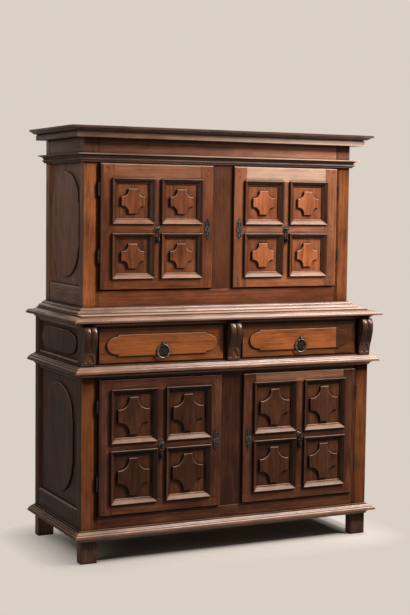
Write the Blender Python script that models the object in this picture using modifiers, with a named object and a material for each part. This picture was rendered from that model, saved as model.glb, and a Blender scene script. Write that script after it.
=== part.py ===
"""Two-part sideboard: a set-back upper cupboard on a wider lower body with two drawers."""
import math
from typing import NamedTuple

import bmesh
import bpy
from mathutils import Matrix, Vector

# Clearances, metres
GAP = 0.0003
DOOR_GAP = 0.0015
WELD = 0.00001
FLAT_ANGLE = 0.001

# Lower body carcass
LOWER_WIDTH = 1.454
LOWER_DEPTH = 0.604
LOWER_POST_WIDTH = 0.077
LOWER_STILE_WIDTH = 0.110
DRAWER_DIVIDER_WIDTH = 0.096
FOOT_HEIGHT = 0.119
BASE_RAIL_HEIGHT = 0.0825
DRAWER_RAIL_HEIGHT = 0.071
WAIST_RAIL_HEIGHT = 0.0095
LOWER_SIDE_BASE_RAIL = 0.116
LOWER_SIDE_SHORTER = 0.035
BAND_SIDE_RAIL = 0.085
BAND_SIDE_SHORTER = 0.013
LOWER_SHELF_RISE = 0.300

# Upper body carcass
UPPER_WIDTH = 1.354
UPPER_DEPTH = 0.487
UPPER_POST_WIDTH = 0.074
UPPER_STILE_WIDTH = 0.106
UPPER_BASE_RAIL_HEIGHT = 0.0695
UPPER_TOP_RAIL_HEIGHT = 0.108
UPPER_SIDE_BASE_RAIL = 0.087
UPPER_SIDE_SHORTER = 0.016
UPPER_SHELF_RISE = 0.330

# Members that both carcasses share
POST_DEPTH = 0.048
FRAME_THICKNESS = 0.030
SIDE_THICKNESS = 0.028
SIDE_PANEL_RECESS = 0.012
SIDE_PANEL_THICKNESS = 0.010
SIDE_FIELD_RISE = 0.008
SIDE_CHAMFER = 0.006
BOARD_THICKNESS = 0.020
LEDGER_HEIGHT = 0.022
BACK_THICKNESS = 0.012
BACK_SETBACK = 0.010

# Raised fields of the side panels
UPPER_SIDE_MARGIN_ACROSS = 0.022
UPPER_SIDE_MARGIN_ALONG = 0.034
LOWER_SIDE_MARGIN_ACROSS = 0.068
LOWER_SIDE_MARGIN_ALONG = 0.037
BAND_SIDE_MARGIN = 0.016
SIDE_FIELD_STEP = 0.010
SIDE_FIELD_STRAIGHT = 0.200
BAND_FIELD_STRAIGHT = 0.280

# Mouldings
BASE_RISE = 0.029
BASE_COVE = 0.020
BASE_OVERHANG = 0.038
BELT_DROP = 0.0075
BELT_RISE = 0.032
BELT_COVE = 0.018
BELT_OVERHANG = 0.041
WAIST_BOARD_HEIGHT = 0.0442
WAIST_OVERHANG = 0.048
WAIST_COVE = 0.017
WAIST_REEDS_WIDTH = 0.024
WAIST_REEDS_HEIGHT = 0.011
WAIST_SLOPE_WIDTH = 0.028
PLINTH_HEIGHT = 0.029
PLINTH_OVERHANG = 0.038
PLINTH_STEP_SHARE = 0.62
FRIEZE_HEIGHT = 0.068
ARCHITRAVE_HEIGHT = 0.036
ARCHITRAVE_OVERHANG = 0.039
ARCHITRAVE_FOOT_SHARE = 0.33
CORNICE_HEIGHT = 0.048
CORNICE_FASCIA = 0.050
CORNICE_FASCIA_SHARE = 0.45
CORNICE_OVERHANG = 0.082
CORNICE_BED = 0.040
FILLET = 0.005
MOULDING_TIP = 0.005
BAND_REED_COUNT = 3
WAIST_REED_COUNT = 2
REED_FACETS = 4
REED_BULGE = 0.22
ARC_STEPS = 5

# Doors
DOOR_THICKNESS = 0.029
DOOR_PROUD = 0.012
UPPER_DOOR_HEIGHT = 0.559
UPPER_DOOR_STILE = 0.0530
UPPER_DOOR_MUNTIN = 0.033
UPPER_DOOR_TOP_RAIL = 0.064
UPPER_DOOR_MID_RAIL = 0.041
UPPER_DOOR_BOTTOM_RAIL = 0.051
UPPER_BEADING_WIDTH = 0.025
UPPER_FIELD_MARGIN = 0.021
UPPER_FIELD_RADIUS = 0.028
UPPER_FIELD_STEP = 0.006
LOWER_DOOR_HEIGHT = 0.600
LOWER_DOOR_STILE = 0.0525
LOWER_DOOR_MUNTIN = 0.041
LOWER_DOOR_TOP_RAIL = 0.042
LOWER_DOOR_MID_RAIL = 0.031
LOWER_DOOR_BOTTOM_RAIL = 0.050
LOWER_BEADING_WIDTH = 0.0245
LOWER_FIELD_MARGIN = 0.012
LOWER_FIELD_RADIUS = 0.046
LOWER_FIELD_STEP = 0.008
BEADING_LAP = 0.009
BEADING_RISE = 0.007
BEADING_FILLET = 0.004
PANEL_SETBACK = 0.010
PANEL_THICKNESS = 0.009
PANEL_TONGUE = 0.006
FIELD_RISE = 0.008
SHOULDER_SLANT = 0.125

# Hinges, with a pin fixed in the lower knuckle
KNUCKLE_RADIUS = 0.0055
KNUCKLE_LENGTH = 0.028
KNUCKLE_CLEARANCE = 0.0007
KNUCKLE_TAB_SHARE = 0.7
HINGE_PIN_RADIUS = 0.0022
HINGE_PIN_LENGTH = 0.020
HINGE_TAB = 0.004
FINIAL_HEIGHT = 0.009
FINIAL_NECK_SHARE = 0.34
FINIAL_BALL_SHARE = 0.62
HINGE_FROM_TOP = 0.115
HINGE_FROM_BOTTOM = 0.150

# Locks
BOLT_LENGTH = 0.030
BOLT_HEIGHT = 0.016
BOLT_THICKNESS = 0.008
BOLT_FROM_BACK = 0.004
BOLT_THROW = 0.012
MORTISE_CLEARANCE = 0.0010
ESCUTCHEON_WIDTH = 0.032
ESCUTCHEON_HEIGHT = 0.095
ESCUTCHEON_THICKNESS = 0.0025
ESCUTCHEON_LOBES = 8
ESCUTCHEON_LOBE_DEPTH = 0.16
ESCUTCHEON_POINTS = 48
KEYHOLE_RADIUS = 0.0032
KEYHOLE_SLOT = 0.011

# Drop pulls of the doors
ROSETTE_RADIUS = 0.014
ROSETTE_HEIGHT = 0.005
ROSETTE_BOSS_SHARE = 0.55
ROSETTE_DISH_SHARE = 0.75
ROSETTE_RIM_SHARE = 0.4
ROSETTE_STEPS = 14
FORK_REACH = 0.0145
FORK_WIDTH = 0.010
FORK_CHEEK = 0.002
FORK_HEIGHT = 0.008
DROP_PIN_RADIUS = 0.0015
DROP_EYE_RADIUS = 0.0034
DROP_EYE_WIRE = 0.0013
DROP_LENGTH = 0.066
DROP_RADIUS = 0.0062
# Share of the length and share of the radius down a drop
DROP_SHAPE = ((0.0, 0.30), (0.10, 0.34), (0.14, 0.62), (0.18, 0.34), (0.45, 0.52), (0.72, 1.0),
              (0.84, 0.92), (0.92, 0.42), (0.96, 0.50))

# Drawers and their rings
DRAWER_HEIGHT = 0.150
DRAWER_PROUD = 0.006
DRAWER_FRONT_THICKNESS = 0.024
DRAWER_LENGTH = 0.450
DRAWER_WALL = 0.012
DRAWER_SIDE_HEIGHT = 0.118
DRAWER_MARGIN_END = 0.034
DRAWER_MARGIN_EDGE = 0.028
DRAWER_FIELD_RISE = 0.007
DRAWER_FIELD_STEP = 0.008
DRAWER_FIELD_END = 0.052
RING_RADIUS = 0.0285
RING_WIRE = 0.0030
STAPLE_RADIUS = 0.0100
STAPLE_WIRE = 0.0020
STAPLE_FROM_TOP = 0.0745
RING_STANDOFF = 0.0036

# Scroll consoles between the drawers
CORBEL_WIDTH = 0.058
CORBEL_FOOT = 0.015
CORBEL_FOOT_HEIGHT = 0.014
CORBEL_NECK = 0.014
CORBEL_BULGE = 0.047
CORBEL_BULGE_SHARE = 0.80
CORBEL_CROWN_FALL = 0.45
CORBEL_LOBE_DEPTH = 0.009
CORBEL_LOBE_START = 0.25
CORBEL_LOBE_SPAN = 0.5
CORBEL_STATIONS = 11
CORBEL_FACETS = 12


class Finish(NamedTuple):
    colour: tuple
    roughness: float
    metallic: float


WALNUT = Finish((0.225, 0.082, 0.033), 0.42, 0.0)
WALNUT_ORANGE = Finish((0.270, 0.095, 0.030), 0.40, 0.0)
WALNUT_DARK = Finish((0.085, 0.042, 0.022), 0.45, 0.0)
WALNUT_SIDE = Finish((0.070, 0.042, 0.028), 0.50, 0.0)
INNER_WOOD = Finish((0.180, 0.095, 0.048), 0.65, 0.0)
IRON = Finish((0.045, 0.040, 0.036), 0.45, 0.9)

# Levels and planes that several pieces share
LOWER_HALF = LOWER_WIDTH / 2
UPPER_HALF = UPPER_WIDTH / 2
BACK_Y = (LOWER_DEPTH + WAIST_OVERHANG) / 2
LOWER_FRONT = BACK_Y - LOWER_DEPTH
UPPER_FRONT = BACK_Y - UPPER_DEPTH
BACK_PANEL_Y = BACK_Y - BACK_SETBACK - BACK_THICKNESS
BASE_RAIL_TOP = FOOT_HEIGHT + BASE_RAIL_HEIGHT
LOWER_DOOR_Z = BASE_RAIL_TOP + DOOR_GAP
DRAWER_RAIL_Z = LOWER_DOOR_Z + LOWER_DOOR_HEIGHT + DOOR_GAP
DECK_TOP = DRAWER_RAIL_Z + DRAWER_RAIL_HEIGHT
DRAWER_Z = DECK_TOP + DOOR_GAP
WAIST_RAIL_Z = DRAWER_Z + DRAWER_HEIGHT + DOOR_GAP
LOWER_TOP = WAIST_RAIL_Z + WAIST_RAIL_HEIGHT
BELT_TOP = DECK_TOP - BELT_DROP
LOWER_SIDE_OPENING = LOWER_DOOR_HEIGHT - LOWER_SIDE_SHORTER
BAND_SIDE_OPENING = DRAWER_HEIGHT - BAND_SIDE_SHORTER
WAIST_Z = LOWER_TOP + GAP
PLINTH_Z = WAIST_Z + WAIST_BOARD_HEIGHT + GAP
UPPER_Z = PLINTH_Z + PLINTH_HEIGHT + GAP
UPPER_BASE_RAIL_TOP = UPPER_Z + UPPER_BASE_RAIL_HEIGHT
UPPER_DOOR_Z = UPPER_BASE_RAIL_TOP + DOOR_GAP
UPPER_TOP_RAIL_Z = UPPER_DOOR_Z + UPPER_DOOR_HEIGHT + DOOR_GAP
UPPER_TOP = UPPER_TOP_RAIL_Z + UPPER_TOP_RAIL_HEIGHT
UPPER_SIDE_OPENING = UPPER_DOOR_HEIGHT - UPPER_SIDE_SHORTER
ARCHITRAVE_Z = UPPER_TOP - FRIEZE_HEIGHT - ARCHITRAVE_HEIGHT
CORNICE_Z = UPPER_TOP + GAP

FACING_FRONT = Matrix.Rotation(math.pi / 2, 4, "X")
FACING_SIDE = Matrix.Rotation(math.pi / 2, 4, "Z") @ FACING_FRONT
ALONG_X = Matrix.Rotation(math.pi / 2, 4, "Y")
# Outlines are filled at a slant, because points on one level upset the fill
FILL_TURN = Matrix.Rotation(0.3, 4, "Z")


class Carcass(NamedTuple):
    """Half width, front plane, post width and height of one of the two bodies."""
    half: float
    front: float
    post: float
    bottom: float
    top: float


LOWER = Carcass(LOWER_HALF, LOWER_FRONT, LOWER_POST_WIDTH, 0.0, LOWER_TOP)
UPPER = Carcass(UPPER_HALF, UPPER_FRONT, UPPER_POST_WIDTH, UPPER_Z, UPPER_TOP)


class Door(NamedTuple):
    """Sizes of one kind of door and of the opening that it closes."""
    half: float
    front: float
    post: float
    centre_stile: float
    bottom: float
    height: float
    stile: float
    muntin: float
    top_rail: float
    mid_rail: float
    bottom_rail: float
    beading: float
    margin: float
    radius: float
    step: float
    finish: Finish


UPPER_DOOR = Door(
    UPPER_HALF, UPPER_FRONT, UPPER_POST_WIDTH, UPPER_STILE_WIDTH, UPPER_DOOR_Z, UPPER_DOOR_HEIGHT,
    UPPER_DOOR_STILE, UPPER_DOOR_MUNTIN, UPPER_DOOR_TOP_RAIL, UPPER_DOOR_MID_RAIL,
    UPPER_DOOR_BOTTOM_RAIL, UPPER_BEADING_WIDTH, UPPER_FIELD_MARGIN, UPPER_FIELD_RADIUS,
    UPPER_FIELD_STEP, WALNUT)
LOWER_DOOR = Door(
    LOWER_HALF, LOWER_FRONT, LOWER_POST_WIDTH, LOWER_STILE_WIDTH, LOWER_DOOR_Z, LOWER_DOOR_HEIGHT,
    LOWER_DOOR_STILE, LOWER_DOOR_MUNTIN, LOWER_DOOR_TOP_RAIL, LOWER_DOOR_MID_RAIL,
    LOWER_DOOR_BOTTOM_RAIL, LOWER_BEADING_WIDTH, LOWER_FIELD_MARGIN, LOWER_FIELD_RADIUS,
    LOWER_FIELD_STEP, WALNUT_DARK)


def clear_scene():
    for old in list(bpy.data.objects):
        bpy.data.objects.remove(old)


def new_collection(name):
    made = bpy.data.collections.new(name)
    bpy.context.scene.collection.children.link(made)
    return made


def new_material(name, finish):
    made = bpy.data.materials.new(name)
    made.use_nodes = True
    shader = made.node_tree.nodes["Principled BSDF"]
    shader.inputs["Base Color"].default_value = (*finish.colour, 1.0)
    shader.inputs["Roughness"].default_value = finish.roughness
    shader.inputs["Metallic"].default_value = finish.metallic
    return made


# Bodies, pieces and the tools that cut or join them
def body(name, pivot, parent=None):
    """An empty on a body's joint axis; the body's pieces hang on it."""
    empty = bpy.data.objects.new(name, None)
    PARTS.objects.link(empty)
    empty.parent = parent
    empty.location = Vector(pivot) - (world_place(parent) if parent else Vector())
    return empty


def world_place(empty):
    place = empty.location.copy()
    while empty.parent:
        empty = empty.parent
        place += empty.location
    return place


def piece(name, mesh, finish, owner):
    """A part made from a mesh in world coordinates, hung on its body's empty."""
    mesh.transform(Matrix.Translation(-world_place(owner)))
    mesh.materials.clear()
    mesh.materials.append(new_material(name, finish))
    made = bpy.data.objects.new(name, mesh)
    PARTS.objects.link(made)
    made.parent = owner
    return made


def combine(target, mesh, operation):
    tool = bpy.data.objects.new(f"{target.name}_{operation.lower()}", mesh)
    CUTTERS.objects.link(tool)
    tool.hide_render = True
    tool.display_type = "WIRE"
    step = target.modifiers.new(operation.title(), "BOOLEAN")
    step.operation = operation
    step.solver = "EXACT"
    step.object = tool


def cut(target, mesh):
    combine(target, mesh, "DIFFERENCE")


def join(target, mesh):
    combine(target, mesh, "UNION")


# Mesh makers, all in world coordinates
def to_mesh(bm):
    mesh = bpy.data.meshes.new("shape")
    bm.to_mesh(mesh)
    bm.free()
    return mesh


def boxes(*corners):
    """Boxes from pairs of opposite corners, given in any order."""
    bm = bmesh.new()
    for a, b in corners:
        size = [abs(p - q) for p, q in zip(a, b)]
        middle = (Vector(a) + Vector(b)) / 2
        bmesh.ops.create_cube(bm, size=1.0, matrix=Matrix.Translation(middle) @ Matrix.Diagonal((*size, 1.0)))
    return to_mesh(bm)


def rods(radius, length, places, segments=12):
    """Round rods, each centred on a place matrix whose Z is the rod's axis."""
    bm = bmesh.new()
    for place in places:
        bmesh.ops.create_cone(bm, cap_ends=True, segments=segments, radius1=radius, radius2=radius,
                              depth=length, matrix=place)
    return to_mesh(bm)


def baked(shape):
    """The evaluated mesh of a scratch object, which is then removed."""
    bpy.context.scene.collection.objects.link(shape)
    view = bpy.context.evaluated_depsgraph_get()
    mesh = bpy.data.meshes.new_from_object(shape.evaluated_get(view))
    bpy.data.objects.remove(shape)
    bm = bmesh.new()
    bm.from_mesh(mesh)
    bmesh.ops.remove_doubles(bm, verts=bm.verts, dist=WELD)
    bmesh.ops.dissolve_limit(bm, verts=bm.verts, edges=bm.edges, angle_limit=FLAT_ANGLE)
    bmesh.ops.recalc_face_normals(bm, faces=bm.faces)
    bpy.data.meshes.remove(mesh)
    return to_mesh(bm)


def plate(loops, thickness, place):
    """A flat outline, with any holes, as a solid centred on a place matrix."""
    curve = bpy.data.curves.new("outline", "CURVE")
    curve.dimensions = "2D"
    curve.fill_mode = "BOTH"
    curve.extrude = thickness / 2
    for loop in loops:
        spline = curve.splines.new("POLY")
        spline.points.add(len(loop) - 1)
        for point, (u, v) in zip(spline.points, loop):
            point.co = (*(FILL_TURN @ Vector((u, v, 0.0))), 1.0)
        spline.use_cyclic_u = True
    mesh = baked(bpy.data.objects.new("outline", curve))
    mesh.transform(place @ FILL_TURN.inverted())
    return mesh


def turned(profile, place, steps=8):
    """A turned solid from a profile of (radius, height) that runs from top to bottom."""
    bm = bmesh.new()
    points = [bm.verts.new((radius, 0.0, height)) for radius, height in profile]
    for a, b in zip(points, points[1:]):
        bm.edges.new((a, b))
    shape = bpy.data.objects.new("turned", to_mesh(bm))
    screw = shape.modifiers.new("Screw", "SCREW")
    screw.steps = steps
    screw.render_steps = steps
    screw.use_merge_vertices = True
    screw.merge_threshold = WELD
    mesh = baked(shape)
    mesh.transform(place)
    return mesh


def torus(radius, wire, place, around=24, sides=8):
    bpy.ops.mesh.primitive_torus_add(major_radius=radius, minor_radius=wire, major_segments=around,
                                     minor_segments=sides)
    shape = bpy.context.active_object
    mesh = shape.data.copy()
    bpy.data.objects.remove(shape)
    mesh.transform(place)
    return mesh


def merged(*meshes):
    """Several meshes as one, still separate bodies."""
    bm = bmesh.new()
    for mesh in meshes:
        bm.from_mesh(mesh)
    return to_mesh(bm)


def loft(rings, closed=False):
    """A solid through rings of points, capped at both ends or closed on itself."""
    bm = bmesh.new()
    loops = [[bm.verts.new(point) for point in ring] for ring in rings]
    pairs = list(zip(loops, loops[1:]))
    if closed:
        pairs.append((loops[-1], loops[0]))
    else:
        bm.faces.new(loops[0])
        bm.faces.new(loops[-1])
    for near, far in pairs:
        for i, _ in enumerate(near):
            bm.faces.new((near[i - 1], near[i], far[i], far[i - 1]))
    bmesh.ops.recalc_face_normals(bm, faces=bm.faces)
    return to_mesh(bm)


# Outlines and profiles
def arc(centre, radii, start, end, steps=ARC_STEPS):
    angles = [math.radians(start + (end - start) * i / steps) for i in range(steps + 1)]
    return [(centre[0] + radii[0] * math.cos(a), centre[1] + radii[1] * math.sin(a)) for a in angles]


def hollow_corner_field(half_width, half_height, radius, step):
    """A field whose corners are cut by hollow quarter rounds with square shoulders."""
    cu = half_width - step
    cv = half_height - step
    slant = step * SHOULDER_SLANT
    corner = [(half_width, cv - radius - slant)]
    corner += arc((cu, cv), (radius, radius), 270, 180)
    corner += [(cu - radius - slant, half_height)]
    top_left = [(-u, v) for u, v in reversed(corner)]
    return corner + top_left + [(-u, -v) for u, v in corner + top_left]


def round_ended_field(half_width, half_height, straight, step):
    """A tall field with straight sides, square shoulders and half-round ends."""
    middle = straight / 2
    end = [(half_width, middle)]
    end += arc((0, middle), (half_width - step, half_height - middle), 0, 180, 2 * ARC_STEPS)
    end += [(-half_width, middle)]
    return end + [(-u, -v) for u, v in end]


def quarter_turned(outline):
    return [(v, u) for u, v in reversed(outline)]


def reeds(start, end, count):
    """Rounded reeds side by side up the slope from a start to an end, which isn't repeated."""
    slope = Vector(end) - Vector(start)
    swell = Vector((slope.y, -slope.x)) * REED_BULGE / count
    points = []
    for i in range(count * REED_FACETS):
        lift = math.sin(math.pi * (i % REED_FACETS) / REED_FACETS)
        points.append(tuple(Vector(start) + slope * i / (count * REED_FACETS) + swell * lift))
    return points


def band_profile(overhang, cove, rise):
    """A band moulding: a hollow under a square tip, and reeds that slope up to the carcass."""
    tip = overhang - FILLET / 2
    edge = cove + MOULDING_TIP
    top = cove + rise
    hollow = arc((tip, 0), (tip - FILLET, cove), 180, 90)
    slope = reeds((tip, edge), (FILLET, top - FILLET), BAND_REED_COUNT)
    return ([(GAP, 0)] + hollow + [(overhang, cove), (overhang, edge)] + slope
            + [(FILLET, top - FILLET), (FILLET, top), (GAP, top)])


def architrave_profile():
    """A hollow under a square top fillet."""
    reach = ARCHITRAVE_OVERHANG
    foot = reach * ARCHITRAVE_FOOT_SHARE
    top = ARCHITRAVE_HEIGHT - FILLET
    tip = reach - FILLET / 2
    hollow = arc((tip, FILLET), (tip - foot, top - FILLET), 180, 90)
    return ([(GAP, 0), (foot, 0)] + hollow
            + [(reach, top), (reach, ARCHITRAVE_HEIGHT), (GAP, ARCHITRAVE_HEIGHT)])


def cornice_profile():
    """A fascia, a fillet and a hollow that carries the top edge out."""
    fascia = CORNICE_HEIGHT * CORNICE_FASCIA_SHARE
    start = CORNICE_FASCIA + FILLET
    top = CORNICE_HEIGHT - FILLET
    hollow = arc((CORNICE_OVERHANG - FILLET / 2, fascia + FILLET / 2),
                 (CORNICE_OVERHANG - FILLET / 2 - start, top - fascia - FILLET / 2), 180, 90)
    return ([(-CORNICE_BED, 0), (CORNICE_FASCIA, 0), (CORNICE_FASCIA, fascia), (start, fascia)] + hollow
            + [(CORNICE_OVERHANG, top), (CORNICE_OVERHANG, CORNICE_HEIGHT), (-CORNICE_BED, CORNICE_HEIGHT)])


def waist_levels():
    """Edge of the lower top board, bottom to top: a hollow, a tip, reeds, a slope and a step."""
    tip = WAIST_OVERHANG - FILLET / 2
    edge = WAIST_COVE + MOULDING_TIP
    inner = WAIST_OVERHANG - WAIST_REEDS_WIDTH
    crest = edge + WAIST_REEDS_HEIGHT
    last = inner - WAIST_SLOPE_WIDTH
    levels = arc((tip, 0), (tip - FILLET, WAIST_COVE), 180, 90)
    levels += [(WAIST_OVERHANG, WAIST_COVE), (WAIST_OVERHANG, edge)]
    levels += reeds((tip, edge), (inner, crest), WAIST_REED_COUNT)
    return levels + [(inner, crest), (last, WAIST_BOARD_HEIGHT - FILLET), (last, WAIST_BOARD_HEIGHT)]


def plinth_levels():
    """Edge of the upper base board, bottom to top: two rounded steps back to the carcass."""
    step = PLINTH_HEIGHT / 2
    middle = PLINTH_OVERHANG * PLINTH_STEP_SHARE
    lower = arc((middle, 0), (PLINTH_OVERHANG - middle, step), 0, 90)
    upper = arc((FILLET, step + FILLET / 2), (middle - 2 * FILLET, step - FILLET), 0, 90)
    return lower + upper + [(FILLET, PLINTH_HEIGHT)]


# Shapes that run round the front and both sides of a carcass
def band(profile, carcass, z):
    """A moulding mitred at the front corners and cut square at the back."""
    def station(side, at_front):
        return [(side * (carcass.half + out), carcass.front - out if at_front else BACK_Y, z + rise)
                for out, rise in profile]
    return loft([station(-1, False), station(-1, True), station(1, True), station(1, False)])


def moulded_board(levels, carcass, z):
    """A full board whose front and side edges follow the levels."""
    rings = []
    for out, rise in levels:
        left = -carcass.half - out
        right = carcass.half + out
        near = carcass.front - out
        level = z + rise
        ring = [(left, BACK_Y), (left, near), (right, near), (right, BACK_Y)]
        rings.append([(x, y, level) for x, y in ring])
    return loft(rings)


def notched_board(carcass, top):
    """A board between the side webs, notched round the four posts."""
    wide = carcass.half - SIDE_THICKNESS - GAP
    narrow = carcass.half - carcass.post - GAP
    near = carcass.front + FRAME_THICKNESS + GAP
    near_post = carcass.front + POST_DEPTH + GAP
    far_post = BACK_Y - POST_DEPTH - GAP
    far = BACK_PANEL_Y - GAP
    right = [(narrow, near), (narrow, near_post), (wide, near_post), (wide, far_post), (narrow, far_post),
             (narrow, far)]
    outline = right + [(-x, y) for x, y in reversed(right)]
    return plate([outline], BOARD_THICKNESS, Matrix.Translation((0, 0, top - BOARD_THICKNESS / 2)))


# Carcass pieces
def knuckle_places(door, side):
    """Middle of each of a door's two hinges, on the hinge axis."""
    edge = door.half - door.post - DOOR_GAP
    reach = KNUCKLE_RADIUS + KNUCKLE_CLEARANCE
    levels = (door.bottom + HINGE_FROM_BOTTOM, door.bottom + door.height - HINGE_FROM_TOP)
    return [Vector((side * (edge + reach), door.front - reach, z)) for z in levels]


def finial(base, direction):
    """Profile of a knuckle's small turned end, from the knuckle outward."""
    return [(KNUCKLE_RADIUS * FINIAL_NECK_SHARE, base + direction * FINIAL_HEIGHT / 4),
            (KNUCKLE_RADIUS * FINIAL_BALL_SHARE, base + direction * FINIAL_HEIGHT / 2),
            (0, base + direction * FINIAL_HEIGHT)]


def fixed_knuckle(place):
    """Lower knuckle of a hinge with its pin standing up and a finial below."""
    foot = -KNUCKLE_LENGTH
    profile = [(0, HINGE_PIN_LENGTH), (HINGE_PIN_RADIUS, HINGE_PIN_LENGTH), (HINGE_PIN_RADIUS, 0),
               (KNUCKLE_RADIUS, 0), (KNUCKLE_RADIUS, foot)]
    return turned(profile + finial(foot, -1), Matrix.Translation(place))


def moving_knuckle(place):
    """Upper knuckle of a hinge, bored for the pin, with a finial above."""
    bore = HINGE_PIN_RADIUS + GAP
    roof = HINGE_PIN_LENGTH + GAP
    head = KNUCKLE_LENGTH
    profile = [(KNUCKLE_RADIUS, head), (KNUCKLE_RADIUS, GAP), (bore, GAP), (bore, roof), (0, roof)]
    return turned(finial(head, 1)[::-1] + profile, Matrix.Translation(place))


def join_fixed_knuckles(frame, door, side):
    places = knuckle_places(door, side)
    half = HINGE_TAB / 2
    foot = KNUCKLE_LENGTH - HINGE_TAB
    tabs = [((p.x - half, p.y, p.z - HINGE_TAB), (p.x + half, door.front + HINGE_TAB, p.z - foot))
            for p in places]
    join(frame, boxes(*tabs))
    join(frame, merged(*[fixed_knuckle(p) for p in places]))


def join_moving_knuckles(frame, door, side):
    places = knuckle_places(door, side)
    half = HINGE_TAB / 2
    root = KNUCKLE_RADIUS * KNUCKLE_TAB_SHARE
    reach = KNUCKLE_RADIUS + KNUCKLE_CLEARANCE + HINGE_TAB
    low = HINGE_PIN_LENGTH + 2 * GAP
    high = KNUCKLE_LENGTH - half / 2
    tabs = [((p.x - side * root, p.y - half, p.z + low), (p.x - side * reach, p.y + half, p.z + high))
            for p in places]
    join(frame, boxes(*tabs))
    join(frame, merged(*[moving_knuckle(p) for p in places]))


def side_blank(name, carcass, side, rail_bottom, ledger_top, owner):
    """Two posts and the web of rails between them, with a ledger for the shelf."""
    bottom = carcass.bottom
    top = carcass.top
    post = carcass.post
    outer = side * carcass.half
    inner = side * (carcass.half - post)
    web = side * (carcass.half - SIDE_THICKNESS)
    near = carcass.front + POST_DEPTH
    far = BACK_Y - POST_DEPTH
    past = side * (carcass.half - 2 * post)
    blank = boxes(((outer, carcass.front, bottom), (inner, BACK_Y, top)))
    frame = piece(name, blank, WALNUT_SIDE, owner)
    ledger_bottom = ledger_top - LEDGER_HEIGHT
    cut(frame, boxes(((web, near, bottom - post), (past, far, ledger_bottom)),
                     ((web, near, ledger_top), (past, far, top + post))))
    if rail_bottom > bottom:
        cut(frame, boxes(((outer + side * post, near, bottom - post), (past, far, rail_bottom))))
    return frame


def sink_panel(frame, carcass, side, bottom, height, field):
    """A side opening: a chamfered recess outside, a shallow one inside and a raised field."""
    near = carcass.front + POST_DEPTH
    far = BACK_Y - POST_DEPTH
    middle = ((near + far) / 2, bottom + height / 2)
    across = (far - near) / 2
    along = height / 2
    ground = side * (carcass.half - SIDE_PANEL_RECESS)

    def rectangle(grow, depth):
        x = side * (carcass.half - depth)
        return [(x, middle[0] + u * (across + grow), middle[1] + v * (along + grow))
                for u, v in ((-1, -1), (1, -1), (1, 1), (-1, 1))]

    cut(frame, loft([rectangle(SIDE_CHAMFER * 2, -SIDE_CHAMFER), rectangle(0, SIDE_CHAMFER),
                     rectangle(0, SIDE_PANEL_RECESS)]))
    behind = SIDE_PANEL_RECESS + SIDE_PANEL_THICKNESS
    through = SIDE_THICKNESS + SIDE_CHAMFER
    cut(frame, loft([rectangle(-SIDE_CHAMFER, behind), rectangle(-SIDE_CHAMFER, through)]))
    sunk = SIDE_PANEL_THICKNESS / 2
    place = Matrix.Translation((ground + side * (SIDE_FIELD_RISE - sunk) / 2, *middle)) @ FACING_SIDE
    join(frame, plate([field(across, along)], SIDE_FIELD_RISE + sunk, place))


def tall_field(margin_across, margin_along):
    return lambda across, along: round_ended_field(
        across - margin_across, along - margin_along, SIDE_FIELD_STRAIGHT, SIDE_FIELD_STEP)


def band_field(across, along):
    flat = round_ended_field(along - BAND_SIDE_MARGIN, across - 2 * BAND_SIDE_MARGIN, BAND_FIELD_STRAIGHT,
                             SIDE_FIELD_STEP / 2)
    return quarter_turned(flat)


def lower_side(label, side, owner):
    shelf_rest = BASE_RAIL_TOP + LOWER_SHELF_RISE
    frame = side_blank(f"lower_{label}_side_frame", LOWER, side, FOOT_HEIGHT, shelf_rest, owner)
    opening = FOOT_HEIGHT + LOWER_SIDE_BASE_RAIL
    field = tall_field(LOWER_SIDE_MARGIN_ACROSS, LOWER_SIDE_MARGIN_ALONG)
    sink_panel(frame, LOWER, side, opening, LOWER_SIDE_OPENING, field)
    band_opening = opening + LOWER_SIDE_OPENING + BAND_SIDE_RAIL
    sink_panel(frame, LOWER, side, band_opening, BAND_SIDE_OPENING, band_field)
    join_fixed_knuckles(frame, LOWER_DOOR, side)


def upper_side(label, side, owner):
    shelf_rest = UPPER_Z + UPPER_SHELF_RISE
    frame = side_blank(f"upper_{label}_side_frame", UPPER, side, UPPER_Z, shelf_rest, owner)
    field = tall_field(UPPER_SIDE_MARGIN_ACROSS, UPPER_SIDE_MARGIN_ALONG)
    sink_panel(frame, UPPER, side, UPPER_Z + UPPER_SIDE_BASE_RAIL, UPPER_SIDE_OPENING, field)
    join_fixed_knuckles(frame, UPPER_DOOR, side)


def front_frame(name, door, bottom, top, owner, drawers=False):
    """Rails and centre stile between the posts, with a mortise for each bolt."""
    end = door.half - door.post - GAP
    far = door.front + FRAME_THICKNESS
    frame = piece(name, boxes(((-end, door.front, bottom), (end, far, top))), door.finish, owner)
    openings = [(door.centre_stile / 2, door.bottom - DOOR_GAP, door.bottom + door.height + DOOR_GAP)]
    if drawers:
        openings.append((DRAWER_DIVIDER_WIDTH / 2, DECK_TOP, WAIST_RAIL_Z))
    past = door.post
    for inner, low, high in openings:
        cut(frame, boxes(*[((side * inner, door.front - past, low), (side * (end + past), far + past, high))
                           for side in (-1, 1)]))
    reach = BOLT_THROW + MORTISE_CLEARANCE
    cut(frame, boxes(*[bolt_box(door, side, reach, MORTISE_CLEARANCE) for side in (-1, 1)]))


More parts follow.
